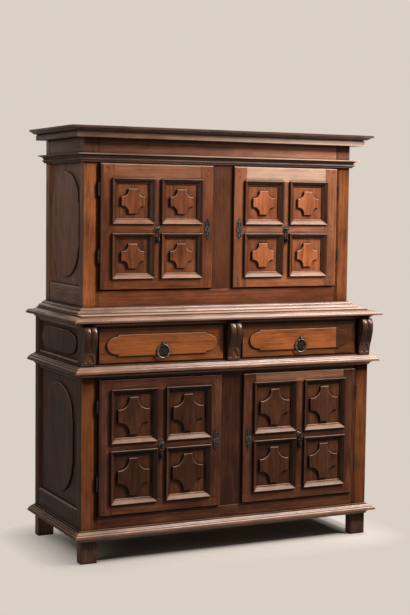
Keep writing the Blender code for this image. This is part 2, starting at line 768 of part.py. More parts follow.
def inner_boards(lower, upper):
    piece("lower_floor_board", notched_board(LOWER, BASE_RAIL_TOP), INNER_WOOD, lower)
    piece("upper_roof_board", notched_board(UPPER, UPPER_TOP), INNER_WOOD, upper)
    deck = piece("drawer_deck", notched_board(LOWER, DECK_TOP), INNER_WOOD, lower)
    guide = DRAWER_DIVIDER_WIDTH / 2
    sunk = BOARD_THICKNESS / 2
    join(deck, boxes(((-guide, LOWER_FRONT + FRAME_THICKNESS + DOOR_GAP, DECK_TOP - sunk),
                      (guide, BACK_PANEL_Y - DOOR_GAP, DECK_TOP + sunk))))
    shelf("lower_shelf", LOWER, BASE_RAIL_TOP + LOWER_SHELF_RISE, lower)
    shelf("upper_shelf", UPPER, UPPER_Z + UPPER_SHELF_RISE, upper)
    back_panel("lower_back_panel", LOWER, FOOT_HEIGHT, lower)
    back_panel("upper_back_panel", UPPER, UPPER_Z, upper)


def shelf(name, carcass, rest, owner):
    wide = carcass.half - SIDE_THICKNESS - GAP
    near = carcass.front + POST_DEPTH + GAP
    far = BACK_Y - POST_DEPTH - GAP
    low = rest + GAP
    piece(name, boxes(((-wide, near, low), (wide, far, low + BOARD_THICKNESS))), INNER_WOOD, owner)


def back_panel(name, carcass, bottom, owner):
    wide = carcass.half - carcass.post - GAP
    far = BACK_PANEL_Y + BACK_THICKNESS
    piece(name, boxes(((-wide, BACK_PANEL_Y, bottom), (wide, far, carcass.top))), INNER_WOOD, owner)


def mouldings(lower, upper):
    base = band(band_profile(BASE_OVERHANG, BASE_COVE, BASE_RISE), LOWER, FOOT_HEIGHT - BASE_COVE)
    belt = band(band_profile(BELT_OVERHANG, BELT_COVE, BELT_RISE), LOWER, BELT_TOP - BELT_RISE - BELT_COVE)
    piece("base_moulding", base, WALNUT, lower)
    piece("belt_moulding", belt, WALNUT, lower)
    piece("waist_top_board", moulded_board(waist_levels(), LOWER, WAIST_Z), WALNUT, lower)
    piece("upper_base_board", moulded_board(plinth_levels(), UPPER, PLINTH_Z), WALNUT, upper)
    piece("architrave_moulding", band(architrave_profile(), UPPER, ARCHITRAVE_Z), WALNUT, upper)
    piece("cornice", band(cornice_profile(), UPPER, CORNICE_Z), WALNUT, upper)


# Scroll consoles
def smooth_step(share):
    share = min(max(share, 0.0), 1.0)
    return share * share * (3 - 2 * share)


def corbel_reach(share):
    """How far a console stands out at a share of its height above the foot."""
    if share < CORBEL_BULGE_SHARE:
        return CORBEL_NECK + (CORBEL_BULGE - CORBEL_NECK) * smooth_step(share / CORBEL_BULGE_SHARE)
    fall = (share - CORBEL_BULGE_SHARE) / (1 - CORBEL_BULGE_SHARE)
    return CORBEL_BULGE - (CORBEL_BULGE - CORBEL_NECK) * CORBEL_CROWN_FALL * fall * fall


def corbel_ring(x, seat, z, reach, lobe):
    """One level of a console: a straight back and a front of two rounded lobes."""
    half = CORBEL_WIDTH / 2
    ring = [(x + half, seat, z), (x - half, seat, z)]
    for i in range(CORBEL_FACETS + 1):
        u = -1 + 2 * i / CORBEL_FACETS
        round_part = math.sqrt(max(0.0, 1 - (2 * abs(u) - 1) ** 2))
        ring.append((x + u * half, seat - reach + lobe * (1 - round_part), z))
    return ring


def corbel(name, x, owner):
    seat = LOWER_FRONT - GAP
    low = BELT_TOP + GAP
    high = LOWER_TOP - GAP
    start = low + CORBEL_FOOT_HEIGHT
    rings = [corbel_ring(x, seat, low, CORBEL_FOOT, 0), corbel_ring(x, seat, start, CORBEL_FOOT, 0)]
    for i in range(CORBEL_STATIONS + 1):
        share = i / CORBEL_STATIONS
        lobe = CORBEL_LOBE_DEPTH * smooth_step((share - CORBEL_LOBE_START) / CORBEL_LOBE_SPAN)
        level = start + GAP + (high - start - GAP) * share
        rings.append(corbel_ring(x, seat, level, corbel_reach(share), lobe))
    piece(name, loft(rings), WALNUT_DARK, owner)


# Doors
def door_edges(door, side):
    """World x of a door's lock edge and hinge edge."""
    return (side * (door.centre_stile / 2 + DOOR_GAP), side * (door.half - door.post - DOOR_GAP))


def panel_grid(door, side):
    """Middle and half sizes of the four panels, measured to the outside of their beading."""
    lock, hinge = door_edges(door, side)
    left = min(lock, hinge)
    width = (abs(hinge - lock) - 2 * door.stile - door.muntin) / 2
    height = (door.height - door.top_rail - door.mid_rail - door.bottom_rail) / 2
    cells = {}
    for row, row_name in enumerate(("bottom", "top")):
        for column, column_name in enumerate(("left", "right")):
            x = left + door.stile + width / 2 + column * (width + door.muntin)
            z = door.bottom + door.bottom_rail + height / 2 + row * (height + door.mid_rail)
            cells[f"{row_name}_{column_name}"] = (x, z)
    return cells, width / 2, height / 2


def crossing(door, side):
    """Middle of a door's muntin crossing, where the drop pull hangs."""
    cells, _, half_height = panel_grid(door, side)
    xs = [x for x, _ in cells.values()]
    low = min(z for _, z in cells.values())
    return ((min(xs) + max(xs)) / 2, low + half_height + door.mid_rail / 2)


def beading_profile(door):
    """The moulding round a panel as (inset, rise): a proud outer edge and a hollow to the panel."""
    inner = door.beading
    sunk = PANEL_SETBACK - 3 * GAP
    bead = BEADING_FILLET
    hollow = arc((inner - bead, BEADING_RISE), (inner - 2 * bead, BEADING_RISE + bead / 2), 180, 270)
    return ([(0, -BEADING_RISE / 4), (0, BEADING_RISE), (bead / 2, BEADING_RISE)] + hollow
            + [(inner - bead, 0), (inner, -bead / 2), (inner, -sunk), (BEADING_LAP / 3, -sunk)])


def beading(door, x, z, half_width, half_height):
    face = door.front - DOOR_PROUD
    profile = beading_profile(door)
    rings = []
    for u, v in ((-1, -1), (1, -1), (1, 1), (-1, 1)):
        rings.append([(x + u * (half_width - inset), face - rise, z + v * (half_height - inset))
                      for inset, rise in profile])
    return loft(rings, closed=True)


def bolt_box(door, side, throw, clearance):
    """Corners of a bolt pushed out by its throw and grown by a clearance."""
    lock = door_edges(door, side)[0]
    z = crossing(door, side)[1]
    back = door.front - DOOR_PROUD + DOOR_THICKNESS - BOLT_FROM_BACK
    half = BOLT_HEIGHT / 2 + clearance
    return ((lock + side * (BOLT_LENGTH + clearance), back - BOLT_THICKNESS - clearance, z - half),
            (lock - side * throw, back + clearance, z + half))


def door_frame(label, door, side, owner):
    """Stiles, rails and muntins with their beading, hinge knuckles and the fork of the drop pull."""
    lock, hinge = door_edges(door, side)
    face = door.front - DOOR_PROUD
    top = door.bottom + door.height
    blank = boxes(((lock, face, door.bottom), (hinge, face + DOOR_THICKNESS, top)))
    frame = piece(f"{label}_door_frame", blank, door.finish, owner)
    cells, half_width, half_height = panel_grid(door, side)
    wide = half_width - BEADING_LAP
    tall = half_height - BEADING_LAP
    past = DOOR_THICKNESS
    cut(frame, boxes(*[((x - wide, face - past, z - tall), (x + wide, face + 2 * past, z + tall))
                       for x, z in cells.values()]))
    wide += PANEL_TONGUE + GAP
    tall += PANEL_TONGUE + GAP
    near = face + PANEL_SETBACK - GAP
    far = face + PANEL_SETBACK + PANEL_THICKNESS + GAP
    cut(frame, boxes(*[((x - wide, near, z - tall), (x + wide, far, z + tall)) for x, z in cells.values()]))
    cut(frame, boxes(bolt_box(door, side, BOLT_LENGTH, GAP)))
    join(frame, merged(*[beading(door, x, z, half_width, half_height) for x, z in cells.values()]))
    join_moving_knuckles(frame, door, side)
    join_fork(frame, door, side)


def join_fork(frame, door, side):
    """Rosette, two cheeks and the pin that a drop pull swings on."""
    x, z = crossing(door, side)
    face = door.front - DOOR_PROUD
    sunk = ROSETTE_HEIGHT / 2
    rim = ROSETTE_HEIGHT * ROSETTE_RIM_SHARE
    profile = [(0, ROSETTE_HEIGHT), (ROSETTE_RADIUS * ROSETTE_BOSS_SHARE, ROSETTE_HEIGHT),
               (ROSETTE_RADIUS * ROSETTE_DISH_SHARE, rim), (ROSETTE_RADIUS, rim),
               (ROSETTE_RADIUS, -sunk), (0, -sunk)]
    join(frame, turned(profile, Matrix.Translation((x, face, z)) @ FACING_FRONT, ROSETTE_STEPS))
    root = face - ROSETTE_HEIGHT / 2
    tip = face - FORK_REACH
    outer = FORK_WIDTH / 2
    inner = outer - FORK_CHEEK
    tall = FORK_HEIGHT / 2
    join(frame, boxes(*[((x + s * outer, root, z - tall), (x + s * inner, tip, z + tall)) for s in (-1, 1)]))
    axis = Matrix.Translation(drop_axis(door, side)) @ ALONG_X
    join(frame, rods(DROP_PIN_RADIUS, FORK_WIDTH - FORK_CHEEK, [axis], 8))


def drop_axis(door, side):
    x, z = crossing(door, side)
    return Vector((x, door.front - DOOR_PROUD - FORK_REACH + FORK_HEIGHT / 2, z))


def drop_pull(name, door, side, owner):
    """A slender turned drop hanging by its eye from the fork's pin."""
    axis = drop_axis(door, side)
    slack = DROP_EYE_RADIUS - DROP_EYE_WIRE - DROP_PIN_RADIUS - GAP
    eye = axis - Vector((0, 0, slack))
    loop = torus(DROP_EYE_RADIUS, DROP_EYE_WIRE, Matrix.Translation(eye) @ ALONG_X, 14, 6)
    pull = piece(name, loop, IRON, owner)
    neck = DROP_EYE_RADIUS
    length = DROP_LENGTH - neck
    stem = [(DROP_RADIUS * wide, -neck - length * down) for down, wide in DROP_SHAPE]
    join(pull, turned([(0, -neck)] + stem + [(0, -DROP_LENGTH)], Matrix.Translation(eye), 12))


def panel_mesh(door, half_width, half_height):
    """A panel with a tongue all round and a raised field with hollow corners."""
    tongue = PANEL_TONGUE - BEADING_LAP
    ground = boxes(((-half_width - tongue, 0, -half_height - tongue),
                    (half_width + tongue, PANEL_THICKNESS, half_height + tongue)))
    inset = door.beading + door.margin
    outline = hollow_corner_field(half_width - inset, half_height - inset, door.radius, door.step)
    sunk = PANEL_THICKNESS / 2
    place = Matrix.Translation((0, (sunk - FIELD_RISE) / 2, 0)) @ FACING_FRONT
    board = bpy.data.objects.new("panel_board", ground)
    join(board, plate([outline], FIELD_RISE + sunk, place))
    return baked(board)


def door_panels(label, door, side, owner):
    cells, half_width, half_height = panel_grid(door, side)
    shape = panel_mesh(door, half_width, half_height)
    for cell, (x, z) in cells.items():
        mesh = shape.copy()
        mesh.transform(Matrix.Translation((x, door.front - DOOR_PROUD + PANEL_SETBACK, z)))
        piece(f"{label}_door_panel_{cell}", mesh, door.finish, owner)


def escutcheon_outline():
    """A scalloped plate, longer than wide, with a key-shaped hole."""
    rim = []
    for i in range(ESCUTCHEON_POINTS):
        turn = 2 * math.pi * i / ESCUTCHEON_POINTS
        share = 0.5 - ESCUTCHEON_LOBE_DEPTH * (1 - math.cos(ESCUTCHEON_LOBES * turn)) / 4
        rim.append((ESCUTCHEON_WIDTH * share * math.cos(turn), ESCUTCHEON_HEIGHT * share * math.sin(turn)))
    slot = KEYHOLE_RADIUS / 2
    opening = math.degrees(math.asin(0.5))
    hole = arc((0, 0), (KEYHOLE_RADIUS, KEYHOLE_RADIUS), opening - 90, 270 - opening, 2 * ARC_STEPS)
    return [rim, hole + [(-slot, -KEYHOLE_SLOT), (slot, -KEYHOLE_SLOT)]]


def escutcheon(label, door, side, owner):
    lock = door_edges(door, side)[0]
    x = lock + side * door.stile / 2
    seat = door.front - DOOR_PROUD - GAP
    place = Matrix.Translation((x, seat - ESCUTCHEON_THICKNESS / 2, crossing(door, side)[1])) @ FACING_FRONT
    piece(f"{label}_escutcheon", plate(escutcheon_outline(), ESCUTCHEON_THICKNESS, place), IRON, owner)


def door_set(label, door, side, carcass):
    hinge = knuckle_places(door, side)[0]
    owner = body(f"{label}_door", hinge, carcass)
    door_frame(label, door, side, owner)
    door_panels(label, door, side, owner)
    escutcheon(label, door, side, owner)
    bolt = boxes(bolt_box(door, side, 0, 0))
    pivot = door_edges(door, side)[0], door.front, crossing(door, side)[1]
    piece(f"{label}_lock_bolt", bolt, IRON, body(f"{label}_bolt", pivot, owner))
    drop_pull(f"{label}_drop_pull", door, side, body(f"{label}_drop", drop_axis(door, side), owner))


# Drawers
def drawer_span(side):
    """World x of a drawer's inner and outer ends."""
    return (side * (DRAWER_DIVIDER_WIDTH / 2 + DOOR_GAP), side * (LOWER_HALF - LOWER_POST_WIDTH - DOOR_GAP))


def drawer_face():
    return LOWER_FRONT - DRAWER_PROUD


def ring_axis(side):
    """Middle of the ring's wire where it hangs in the staple."""
    inner, outer = drawer_span(side)
    face = drawer_face() - DRAWER_FIELD_RISE
    room = STAPLE_RADIUS - STAPLE_WIRE - RING_WIRE - GAP
    hang = math.sqrt(max(room * room - RING_STANDOFF * RING_STANDOFF, 0.0))
    return Vector(((inner + outer) / 2, face - RING_STANDOFF, staple_z() - hang))


def staple_z():
    return DRAWER_Z + DRAWER_HEIGHT - STAPLE_FROM_TOP


def drawer_front(name, side, owner):
    inner, outer = drawer_span(side)
    middle = (inner + outer) / 2
    face = drawer_face()
    top = DRAWER_Z + DRAWER_HEIGHT
    blank = boxes(((inner, face, DRAWER_Z), (outer, face + DRAWER_FRONT_THICKNESS, top)))
    front = piece(name, blank, WALNUT_ORANGE, owner)
    half_length = abs(outer - inner) / 2 - DRAWER_MARGIN_END
    half_height = DRAWER_HEIGHT / 2
    straight = 2 * (half_length - DRAWER_FIELD_END)
    field = round_ended_field(half_height - DRAWER_MARGIN_EDGE, half_length, straight, DRAWER_FIELD_STEP)
    outline = quarter_turned(field)
    sunk = DRAWER_FRONT_THICKNESS / 2
    field_middle = (middle, face + (sunk - DRAWER_FIELD_RISE) / 2, top - half_height)
    place = Matrix.Translation(field_middle) @ FACING_FRONT
    join(front, plate([outline], DRAWER_FIELD_RISE + sunk, place))
    staple = Matrix.Translation((middle, face - DRAWER_FIELD_RISE, staple_z())) @ ALONG_X
    join(front, torus(STAPLE_RADIUS, STAPLE_WIRE, staple, 16, 6))


def drawer_box(name, side, owner):
    inner, outer = drawer_span(side)
    near = drawer_face() + DRAWER_FRONT_THICKNESS + GAP
    far = near + DRAWER_LENGTH
    low = DECK_TOP + GAP
    high = low + DRAWER_SIDE_HEIGHT
    box = piece(name, boxes(((inner, near, low), (outer, far, high))), INNER_WOOD, owner)
    wall = DRAWER_WALL
    across = side * wall
    cut(box, boxes(((inner + across, near + wall, low + wall), (outer - across, far - wall, high + wall))))


def drawer_set(label, side, lower):
    inner, outer = drawer_span(side)
    owner = body(f"{label}_drawer", ((inner + outer) / 2, drawer_face(), DRAWER_Z), lower)
    drawer_front(f"{label}_drawer_front", side, owner)
    drawer_box(f"{label}_drawer_box", side, owner)
    axis = ring_axis(side)
    place = Matrix.Translation(axis - Vector((0, 0, RING_RADIUS))) @ FACING_FRONT
    ring = torus(RING_RADIUS, RING_WIRE, place)
    piece(f"{label}_drawer_ring", ring, IRON, body(f"{label}_ring", axis, owner))


def build():
    lower = body("lower_body", (0, 0, 0))
    upper = body("upper_body", (0, 0, PLINTH_Z), lower)
    sides = (("left", -1), ("right", 1))
    for label, side in sides:
        lower_side(label, side, lower)
        upper_side(label, side, upper)
        drawer_set(label, side, lower)
        corbel(f"{label}_corbel", side * (LOWER_HALF - CORBEL_WIDTH / 2), lower)
        door_set(f"lower_{label}", LOWER_DOOR, side, lower)
        door_set(f"upper_{label}", UPPER_DOOR, side, upper)
    corbel("centre_corbel", 0, lower)
    front_frame("lower_front_frame", LOWER_DOOR, FOOT_HEIGHT, LOWER_TOP, lower, drawers=True)
    front_frame("upper_front_frame", UPPER_DOOR, UPPER_Z, UPPER_TOP, upper)
    inner_boards(lower, upper)
    mouldings(lower, upper)


clear_scene()
PARTS = new_collection("two_part_sideboard")
CUTTERS = new_collection("cutters")
build()
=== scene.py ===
"""Looks of the two-part sideboard: joinery, carving, ironwork, old waxed walnut, light and camera."""
import random
from math import atan2, copysign, cos, exp, hypot, pi, radians, sin, sqrt
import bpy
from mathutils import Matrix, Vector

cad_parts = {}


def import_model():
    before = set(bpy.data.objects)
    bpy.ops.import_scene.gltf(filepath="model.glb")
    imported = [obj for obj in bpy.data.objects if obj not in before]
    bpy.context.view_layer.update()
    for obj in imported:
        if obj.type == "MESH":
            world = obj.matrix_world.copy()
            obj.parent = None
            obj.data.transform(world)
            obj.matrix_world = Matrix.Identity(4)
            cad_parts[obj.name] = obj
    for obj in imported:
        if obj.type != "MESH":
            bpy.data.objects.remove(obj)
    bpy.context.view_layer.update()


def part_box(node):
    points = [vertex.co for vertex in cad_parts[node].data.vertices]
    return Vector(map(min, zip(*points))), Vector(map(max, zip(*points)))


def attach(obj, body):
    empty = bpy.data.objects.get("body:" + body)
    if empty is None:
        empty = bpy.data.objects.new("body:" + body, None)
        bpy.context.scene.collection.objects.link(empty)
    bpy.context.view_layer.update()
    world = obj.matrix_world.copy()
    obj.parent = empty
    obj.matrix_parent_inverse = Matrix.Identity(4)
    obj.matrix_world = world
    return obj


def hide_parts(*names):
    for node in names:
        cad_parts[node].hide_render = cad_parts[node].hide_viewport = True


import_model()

from types import SimpleNamespace as Values

import bmesh
import bpy
from mathutils import Matrix, Vector, noise

SEED = 17
DRAW = random.Random(SEED)
noise.seed_set(SEED)
SIDES = (("left", -1), ("right", 1))

# Sizes that both bodies share, metres
BACK_Y = 0.326
POST_DEPTH = 0.048
FRAME_THICKNESS = 0.030
SIDE_THICKNESS = 0.028
BOARD_THICKNESS = 0.020
DIVIDER_HALF = 0.048
GAP = 0.0003
DOOR_GAP = 0.0015
DOOR_PROUD = 0.012
DOOR_THICKNESS = 0.029

# The two bodies: planes and heights of the frame, sizes of a door, openings of a side, tones
LOWER = Values(
    name="lower", body="lower_body", slot="walnut_dark",
    front=-0.278, half=0.727, post=0.077, centre_half=0.055,
    foot=0.119, rail_top=0.2015, head_z=0.8045, top=1.038, ledger=0.5015,
    door_height=0.600, stile=0.0525, beading=0.0245, field=(0.012, 0.046, 0.008),
    openings=((0.235, 0.800), (0.885, 1.022)), side_margins=((0.068, 0.037), None),
    ground=(1.08, 0.35), field_warm=(0.05, 0.2), iron_tone=1.0, rail_share=1.5,
    peg_heights=(0.17, 0.81))
UPPER = Values(
    name="upper", body="upper_body", slot="walnut",
    front=-0.161, half=0.677, post=0.074, centre_half=0.053,
    foot=1.1121, rail_top=1.1816, head_z=1.7436, top=1.8516, ledger=1.4421,
    door_height=0.559, stile=0.0530, beading=0.025, field=(0.021, 0.028, 0.006),
    openings=((1.1991, 1.7421),), side_margins=((0.022, 0.034),),
    ground=(0.92, 0.35), field_warm=(0.30, 0.50), iron_tone=1.3, rail_share=0.9,
    peg_heights=(1.150, 1.735))

# Heights of mouldings, drawers and rails
BASE_Z = 0.099
BELT_Z = 0.818
DECK_TOP = 0.8755
DRAWER_Z = 0.877
DRAWER_HEIGHT = 0.150
WAIST_RAIL_Z = 1.0285
WAIST_Z = 1.0383
PLINTH_Z = 1.0828
ARCHITRAVE_Z = 1.7476
CORNICE_Z = 1.8519

# Wear and joinery
EDGE = 0.0012
SOFT_EDGE = 0.0026
POST_EDGE = 0.002
FOOT_EDGE = 0.003
RAIL_EDGE = 0.007
IRON_EDGE = 0.0008
TAB_EDGE = 0.0004
JOINT = 0.0004
PEG_RADIUS = 0.0036
PEG_PROUD = 0.0005
PEG_DEPTH = 0.004
TONE_SPREAD = (0.88, 1.12)
PLANK_TONES = (0.8, 1.15)

# A face whose normal is this near an axis is flat; an edge sharper than this angle is eased
FLAT = 0.95
SHARP = 0.4

# Order of a point's coordinates that puts the grain last, and how far apart boards lie in the figure
GRAIN_ORDER = {"x": (1, 2, 0), "y": (0, 2, 1), "z": (0, 1, 2)}
FIGURE_SPAN = 9.0


# Materials
def grey(share):
    return (share, share, share)


def scaled(colour, share):
    return tuple(c * share for c in colour)


BLACK = grey(0.0)
WHITE = grey(1.0)
# Pale colour of dust, also used for painted highlights and sheen
DUST_AND_SHEEN = (0.470, 0.312, 0.222)
PORE_TINT = (0.45, 0.42, 0.40)
STAIN_TINT = (0.50, 0.44, 0.42)
RUST = (0.060, 0.026, 0.012)
# Colour that the iron darkens to in its corners
IRON_CORNER_DARK = (0.008, 0.006, 0.005)
IRON_STOPS = ((0.35, (0.022, 0.020, 0.019)), (0.62, (0.085, 0.078, 0.070)), (0.80, (0.20, 0.185, 0.165)))

# Layers of the wood: scale across, across and along the grain, detail, distortion
LAYERS = {
    "figure": ((13.0, 13.0, 0.8), 3.0, 0.35),
    "streaks": ((130.0, 130.0, 2.6), 3.0, 0.0),
    "pores": ((620.0, 620.0, 16.0), 2.0, 0.0),
    "patina": ((5.0, 5.0, 3.2), 5.0, 0.6),
    "mottle": ((30.0, 30.0, 11.0), 4.0, 0.5),
    "stains": ((2.1, 2.1, 1.4), 4.0, 1.2),
    "plane_marks": ((38.0, 38.0, 11.0), 2.0, 0.0),
}


class Nodes:
    """Short ways to build one node tree."""
    def __init__(self, owner):
        owner.use_nodes = True
        self.tree = owner.node_tree

    def new(self, kind):
        return self.tree.nodes.new(f"ShaderNode{kind}")

    def feed(self, socket, value):
        """Links a socket to an output, or sets it to a number or a colour."""
        if isinstance(value, bpy.types.NodeSocket):
            self.tree.links.new(value, socket)
        else:
            socket.default_value = (*value, 1.0) if isinstance(value, tuple) else value

    def fill(self, node, **values):
        """Feeds inputs by name, with _ for a space."""
        for name, value in values.items():
            self.feed(node.inputs[name.replace("_", " ")], value)

    def maths(self, operation, a, b, clamp=False):
        node = self.new("Math")
        node.operation = operation
        node.use_clamp = clamp
        self.feed(node.inputs[0], a)
        self.feed(node.inputs[1], b)
        return node.outputs[0]

    def times(self, a, b, clamp=False):
        return self.maths("MULTIPLY", a, b, clamp)

    def plus(self, a, b, clamp=False):
        return self.maths("ADD", a, b, clamp)

    def less(self, a, b):
        return self.maths("SUBTRACT", a, b)

    def vector_maths(self, operation, vector, value):
        node = self.new("VectorMath")
        node.operation = operation
        node.inputs[1].default_value = value
        self.feed(node.inputs[0], vector)
        return node.outputs["Value" if operation == "LENGTH" else "Vector"]

    def noise(self, vector, scale, detail, distortion=0.0):
        """Noise on coordinates that are scaled on each axis."""
        texture = self.new("TexNoise")
        vector = self.vector_maths("MULTIPLY", vector, scale)
        self.fill(texture, Vector=vector, Scale=1.0, Detail=detail, Distortion=distortion)
        return texture.outputs["Fac"]

    def ramp(self, factor, stops):
        node = self.new("ValToRGB")
        elements = node.color_ramp.elements
        while len(elements) < len(stops):
            elements.new(0.5)
        for element, (place, colour) in zip(elements, stops):
            element.position = place
            element.color = (*colour, 1.0)
        self.feed(node.inputs["Fac"], factor)
        return node.outputs["Color"]

    def mix(self, factor, a, b, blend="MIX"):
        node = self.new("Mix")
        node.data_type = "RGBA"
        node.blend_type = blend
        for place, value in ((0, factor), (6, a), (7, b)):
            self.feed(node.inputs[place], value)
        return node.outputs[2]

    def toned(self, colour, tone):
        """A colour made darker or lighter by a tone."""
        tint = self.new("CombineColor")
        for socket in tint.inputs[:3]:
            self.feed(socket, tone)
        return self.mix(1.0, colour, tint.outputs[0], "MULTIPLY")

    def attribute(self, name):
        node = self.new("Attribute")
        node.attribute_name = name
        return node.outputs

    def finish(self):
        """Tone, warmth, wear and painted sheen that the faces of a shape carry; the tone holds any painted
        light or shade.
        """
        finish = self.attribute("finish")
        split = self.new("SeparateColor")
        self.feed(split.inputs[0], finish["Color"])
        return (*split.outputs, finish["Alpha"])

    def occlusion_darkening(self, reach, depth):
        """Share of darkening in corners within a reach, from ambient occlusion: it paints shade there, along
        with any grime.
        """
        shade = self.new("AmbientOcclusion")
        shade.samples = 8
        self.fill(shade, Distance=reach)
        return self.times(self.less(1.0, shade.outputs["AO"]), depth, True)

    def bump(self, shader, height, strength, distance):
        node = self.new("Bump")
        self.fill(node, Height=height, Strength=strength, Distance=distance)
        self.fill(shader, Normal=node.outputs[0])

    def blend(self, output, factor, a, b):
        """Mixes two shaders into the output of the tree."""
        both = self.new("MixShader")
        for socket, value in zip(both.inputs, (factor, a.outputs[0], b.outputs[0])):
            self.feed(socket, value)
        self.fill(self.tree.nodes[output], Surface=both.outputs[0])


def new_material(name):
    """A material with the helper and the shader of its tree."""
    made = bpy.data.materials.new(name)
    n = Nodes(made)
    return made, n, n.tree.nodes["Principled BSDF"]


def figured_colour(n, layer, colours, warmth):
    """Colour of the figure from dark to light, with pores and stains."""
    dark, middle, light, warm = colours
    pattern = n.times(n.maths("PINGPONG", n.times(layer.figure, 9.0), 0.5), 0.45)
    for part, share in ((layer.streaks, 0.28), (layer.patina, 0.50), (layer.mottle, 0.62)):
        pattern = n.plus(pattern, n.times(part, share))
    pattern = n.less(pattern, 0.34)
    brown = n.ramp(pattern, ((0.14, dark), (0.46, middle), (0.82, light)))
    orange = n.ramp(pattern, ((0.08, dark), (0.44, warm), (0.84, scaled(warm, 1.45))))
    colour = n.mix(warmth, brown, orange)
    colour = n.mix(0.75, colour, n.ramp(layer.pores, ((0.33, PORE_TINT), (0.50, WHITE))), "MULTIPLY")
    return n.mix(0.60, colour, n.ramp(layer.stains, ((0.36, STAIN_TINT), (0.56, WHITE))), "MULTIPLY")


def worn_and_lit_colour(n, layer, colour, light, worn, painted_sheen):
    """Rubbed edges, lightened only where they face up: wear with a painted highlight; dust with a painted
    sheen on ledges; painted pale sheen on chosen faces; also gives the share of rubbing and highlight, which
    is kept clean.
    """
    lie = n.new("SeparateXYZ")
    n.feed(lie.inputs[0], n.new("NewGeometry").outputs["Normal"])
    # Painted highlight: rubbed edges show light only where they face up
    lit_from_above = n.ramp(lie.outputs["Z"], ((0.0, grey(0.03)), (0.40, WHITE)))
    rub_and_highlight = n.times(n.times(worn, lit_from_above), n.times(layer.mottle, 2.2), True)
    colour = n.mix(rub_and_highlight, colour, tuple(0.6 * a + 0.75 * b for a, b in zip(light, DUST_AND_SHEEN)))
    # Dust and a painted sheen on faces that slope upward
    ledge_dust_and_sheen = n.ramp(lie.outputs["Z"], ((0.28, BLACK), (0.80, WHITE)))
    patches = n.times(n.plus(layer.patina, 0.08), layer.mottle)
    colour = n.mix(n.times(ledge_dust_and_sheen, patches, True), colour, DUST_AND_SHEEN)
    # Painted pale sheen, as much as each face asks for
    painted_pale = n.times(painted_sheen, n.plus(layer.streaks, layer.mottle), True)
    return n.mix(painted_pale, colour, DUST_AND_SHEEN), rub_and_highlight


def shaded_and_soiled_colour(n, colour, dark, rub_and_highlight):
    """Painted shade: a wide darkening under overhangs and in recesses, and a narrow one in corners that is
    part grime and part painted shade; also gives the narrow one's share.
    """
    clean = n.less(1.0, n.times(rub_and_highlight, 0.7))
    # Painted shade reaching 9 cm, under overhangs and in recesses
    wide_painted_shade = n.times(n.occlusion_darkening(0.090, 0.95), clean)
    colour = n.mix(wide_painted_shade, colour, scaled(dark, 0.5))
    # Narrow darkening in corners: grime and painted shade
    corner_shade_and_soil = n.times(n.occlusion_darkening(0.016, 1.35), clean)
    return n.mix(corner_shade_and_soil, colour, scaled(dark, 0.10)), corner_shade_and_soil


def wood(name, colours, gloss, shine):
    """Old waxed walnut: figure, pores, patina, worn edges, dust, painted highlights and sheen, and painted
    shade with grime in the corners.
    """
    made, n, shader = new_material(name)
    grain = n.attribute("grain")["Vector"]
    layer = Values(**{key: n.noise(grain, *values) for key, values in LAYERS.items()})
    tone, warmth, worn, painted_sheen = n.finish()
    colour = n.toned(figured_colour(n, layer, colours, warmth), tone)
    colour, rub_and_highlight = worn_and_lit_colour(n, layer, colour, colours[2], worn, painted_sheen)
    colour, corner_shade_and_soil = shaded_and_soiled_colour(n, colour, colours[0], rub_and_highlight)
    rough = n.plus(n.times(layer.patina, 0.34), gloss - 0.17)
    # Corners with painted shade and grime are rougher
    rough = n.plus(rough, n.times(corner_shade_and_soil, 0.25), True)
    n.fill(shader, Base_Color=colour, Roughness=rough, Specular_IOR_Level=shine)
    relief = n.plus(n.times(layer.pores, 0.45), n.times(layer.streaks, 0.5))
    n.bump(shader, n.plus(relief, n.times(layer.plane_marks, 1.1)), 0.35, 0.0011)
    return made


def iron(name):
    """Old blackened iron with a rubbed sheen and a little rust."""
    made, n, shader = new_material(name)
    place = n.new("TexCoord").outputs["Object"]
    mottle = n.noise(place, grey(150.0), 4.0, 0.3)
    rust = n.noise(place, grey(45.0), 5.0, 0.8)
    spots = n.ramp(rust, ((0.56, BLACK), (0.70, WHITE)))
    colour = n.mix(n.times(spots, 0.45), n.ramp(mottle, IRON_STOPS), RUST)
    colour = n.toned(colour, n.finish()[0])
    # Darker in the corners of the iron, where ambient occlusion finds them
    colour = n.mix(n.occlusion_darkening(0.008, 0.9), colour, IRON_CORNER_DARK)
    n.fill(shader, Base_Color=colour, Metallic=0.85, Roughness=n.plus(n.times(mottle, 0.35), 0.16))
    n.bump(shader, mottle, 0.4, 0.0005)
    return made


# Dark, middle, light and warm colour of each wood
RED_WOOD = ((0.060, 0.016, 0.006), (0.170, 0.048, 0.016), (0.280, 0.095, 0.036), (0.280, 0.082, 0.025))
ORANGE_WOOD = ((0.100, 0.028, 0.008), (0.280, 0.080, 0.021), (0.400, 0.140, 0.044), (0.340, 0.100, 0.026))
DARK_WOOD = ((0.034, 0.011, 0.005), (0.095, 0.032, 0.015), (0.165, 0.064, 0.031), (0.200, 0.066, 0.022))
# Walnut greyed for the sides, which are seen in shade: the pale room's reflection is painted into its colour
GREYED_SIDE_WOOD = ((0.050, 0.025, 0.017), (0.120, 0.066, 0.047), (0.195, 0.112, 0.080), (0.290, 0.090, 0.028))
BARE_WOOD = ((0.055, 0.030, 0.017), (0.150, 0.086, 0.047), (0.240, 0.150, 0.086), (0.200, 0.110, 0.050))
WAXED_WOOD = ((0.055, 0.019, 0.009), (0.152, 0.058, 0.027), (0.260, 0.118, 0.062), (0.280, 0.082, 0.025))

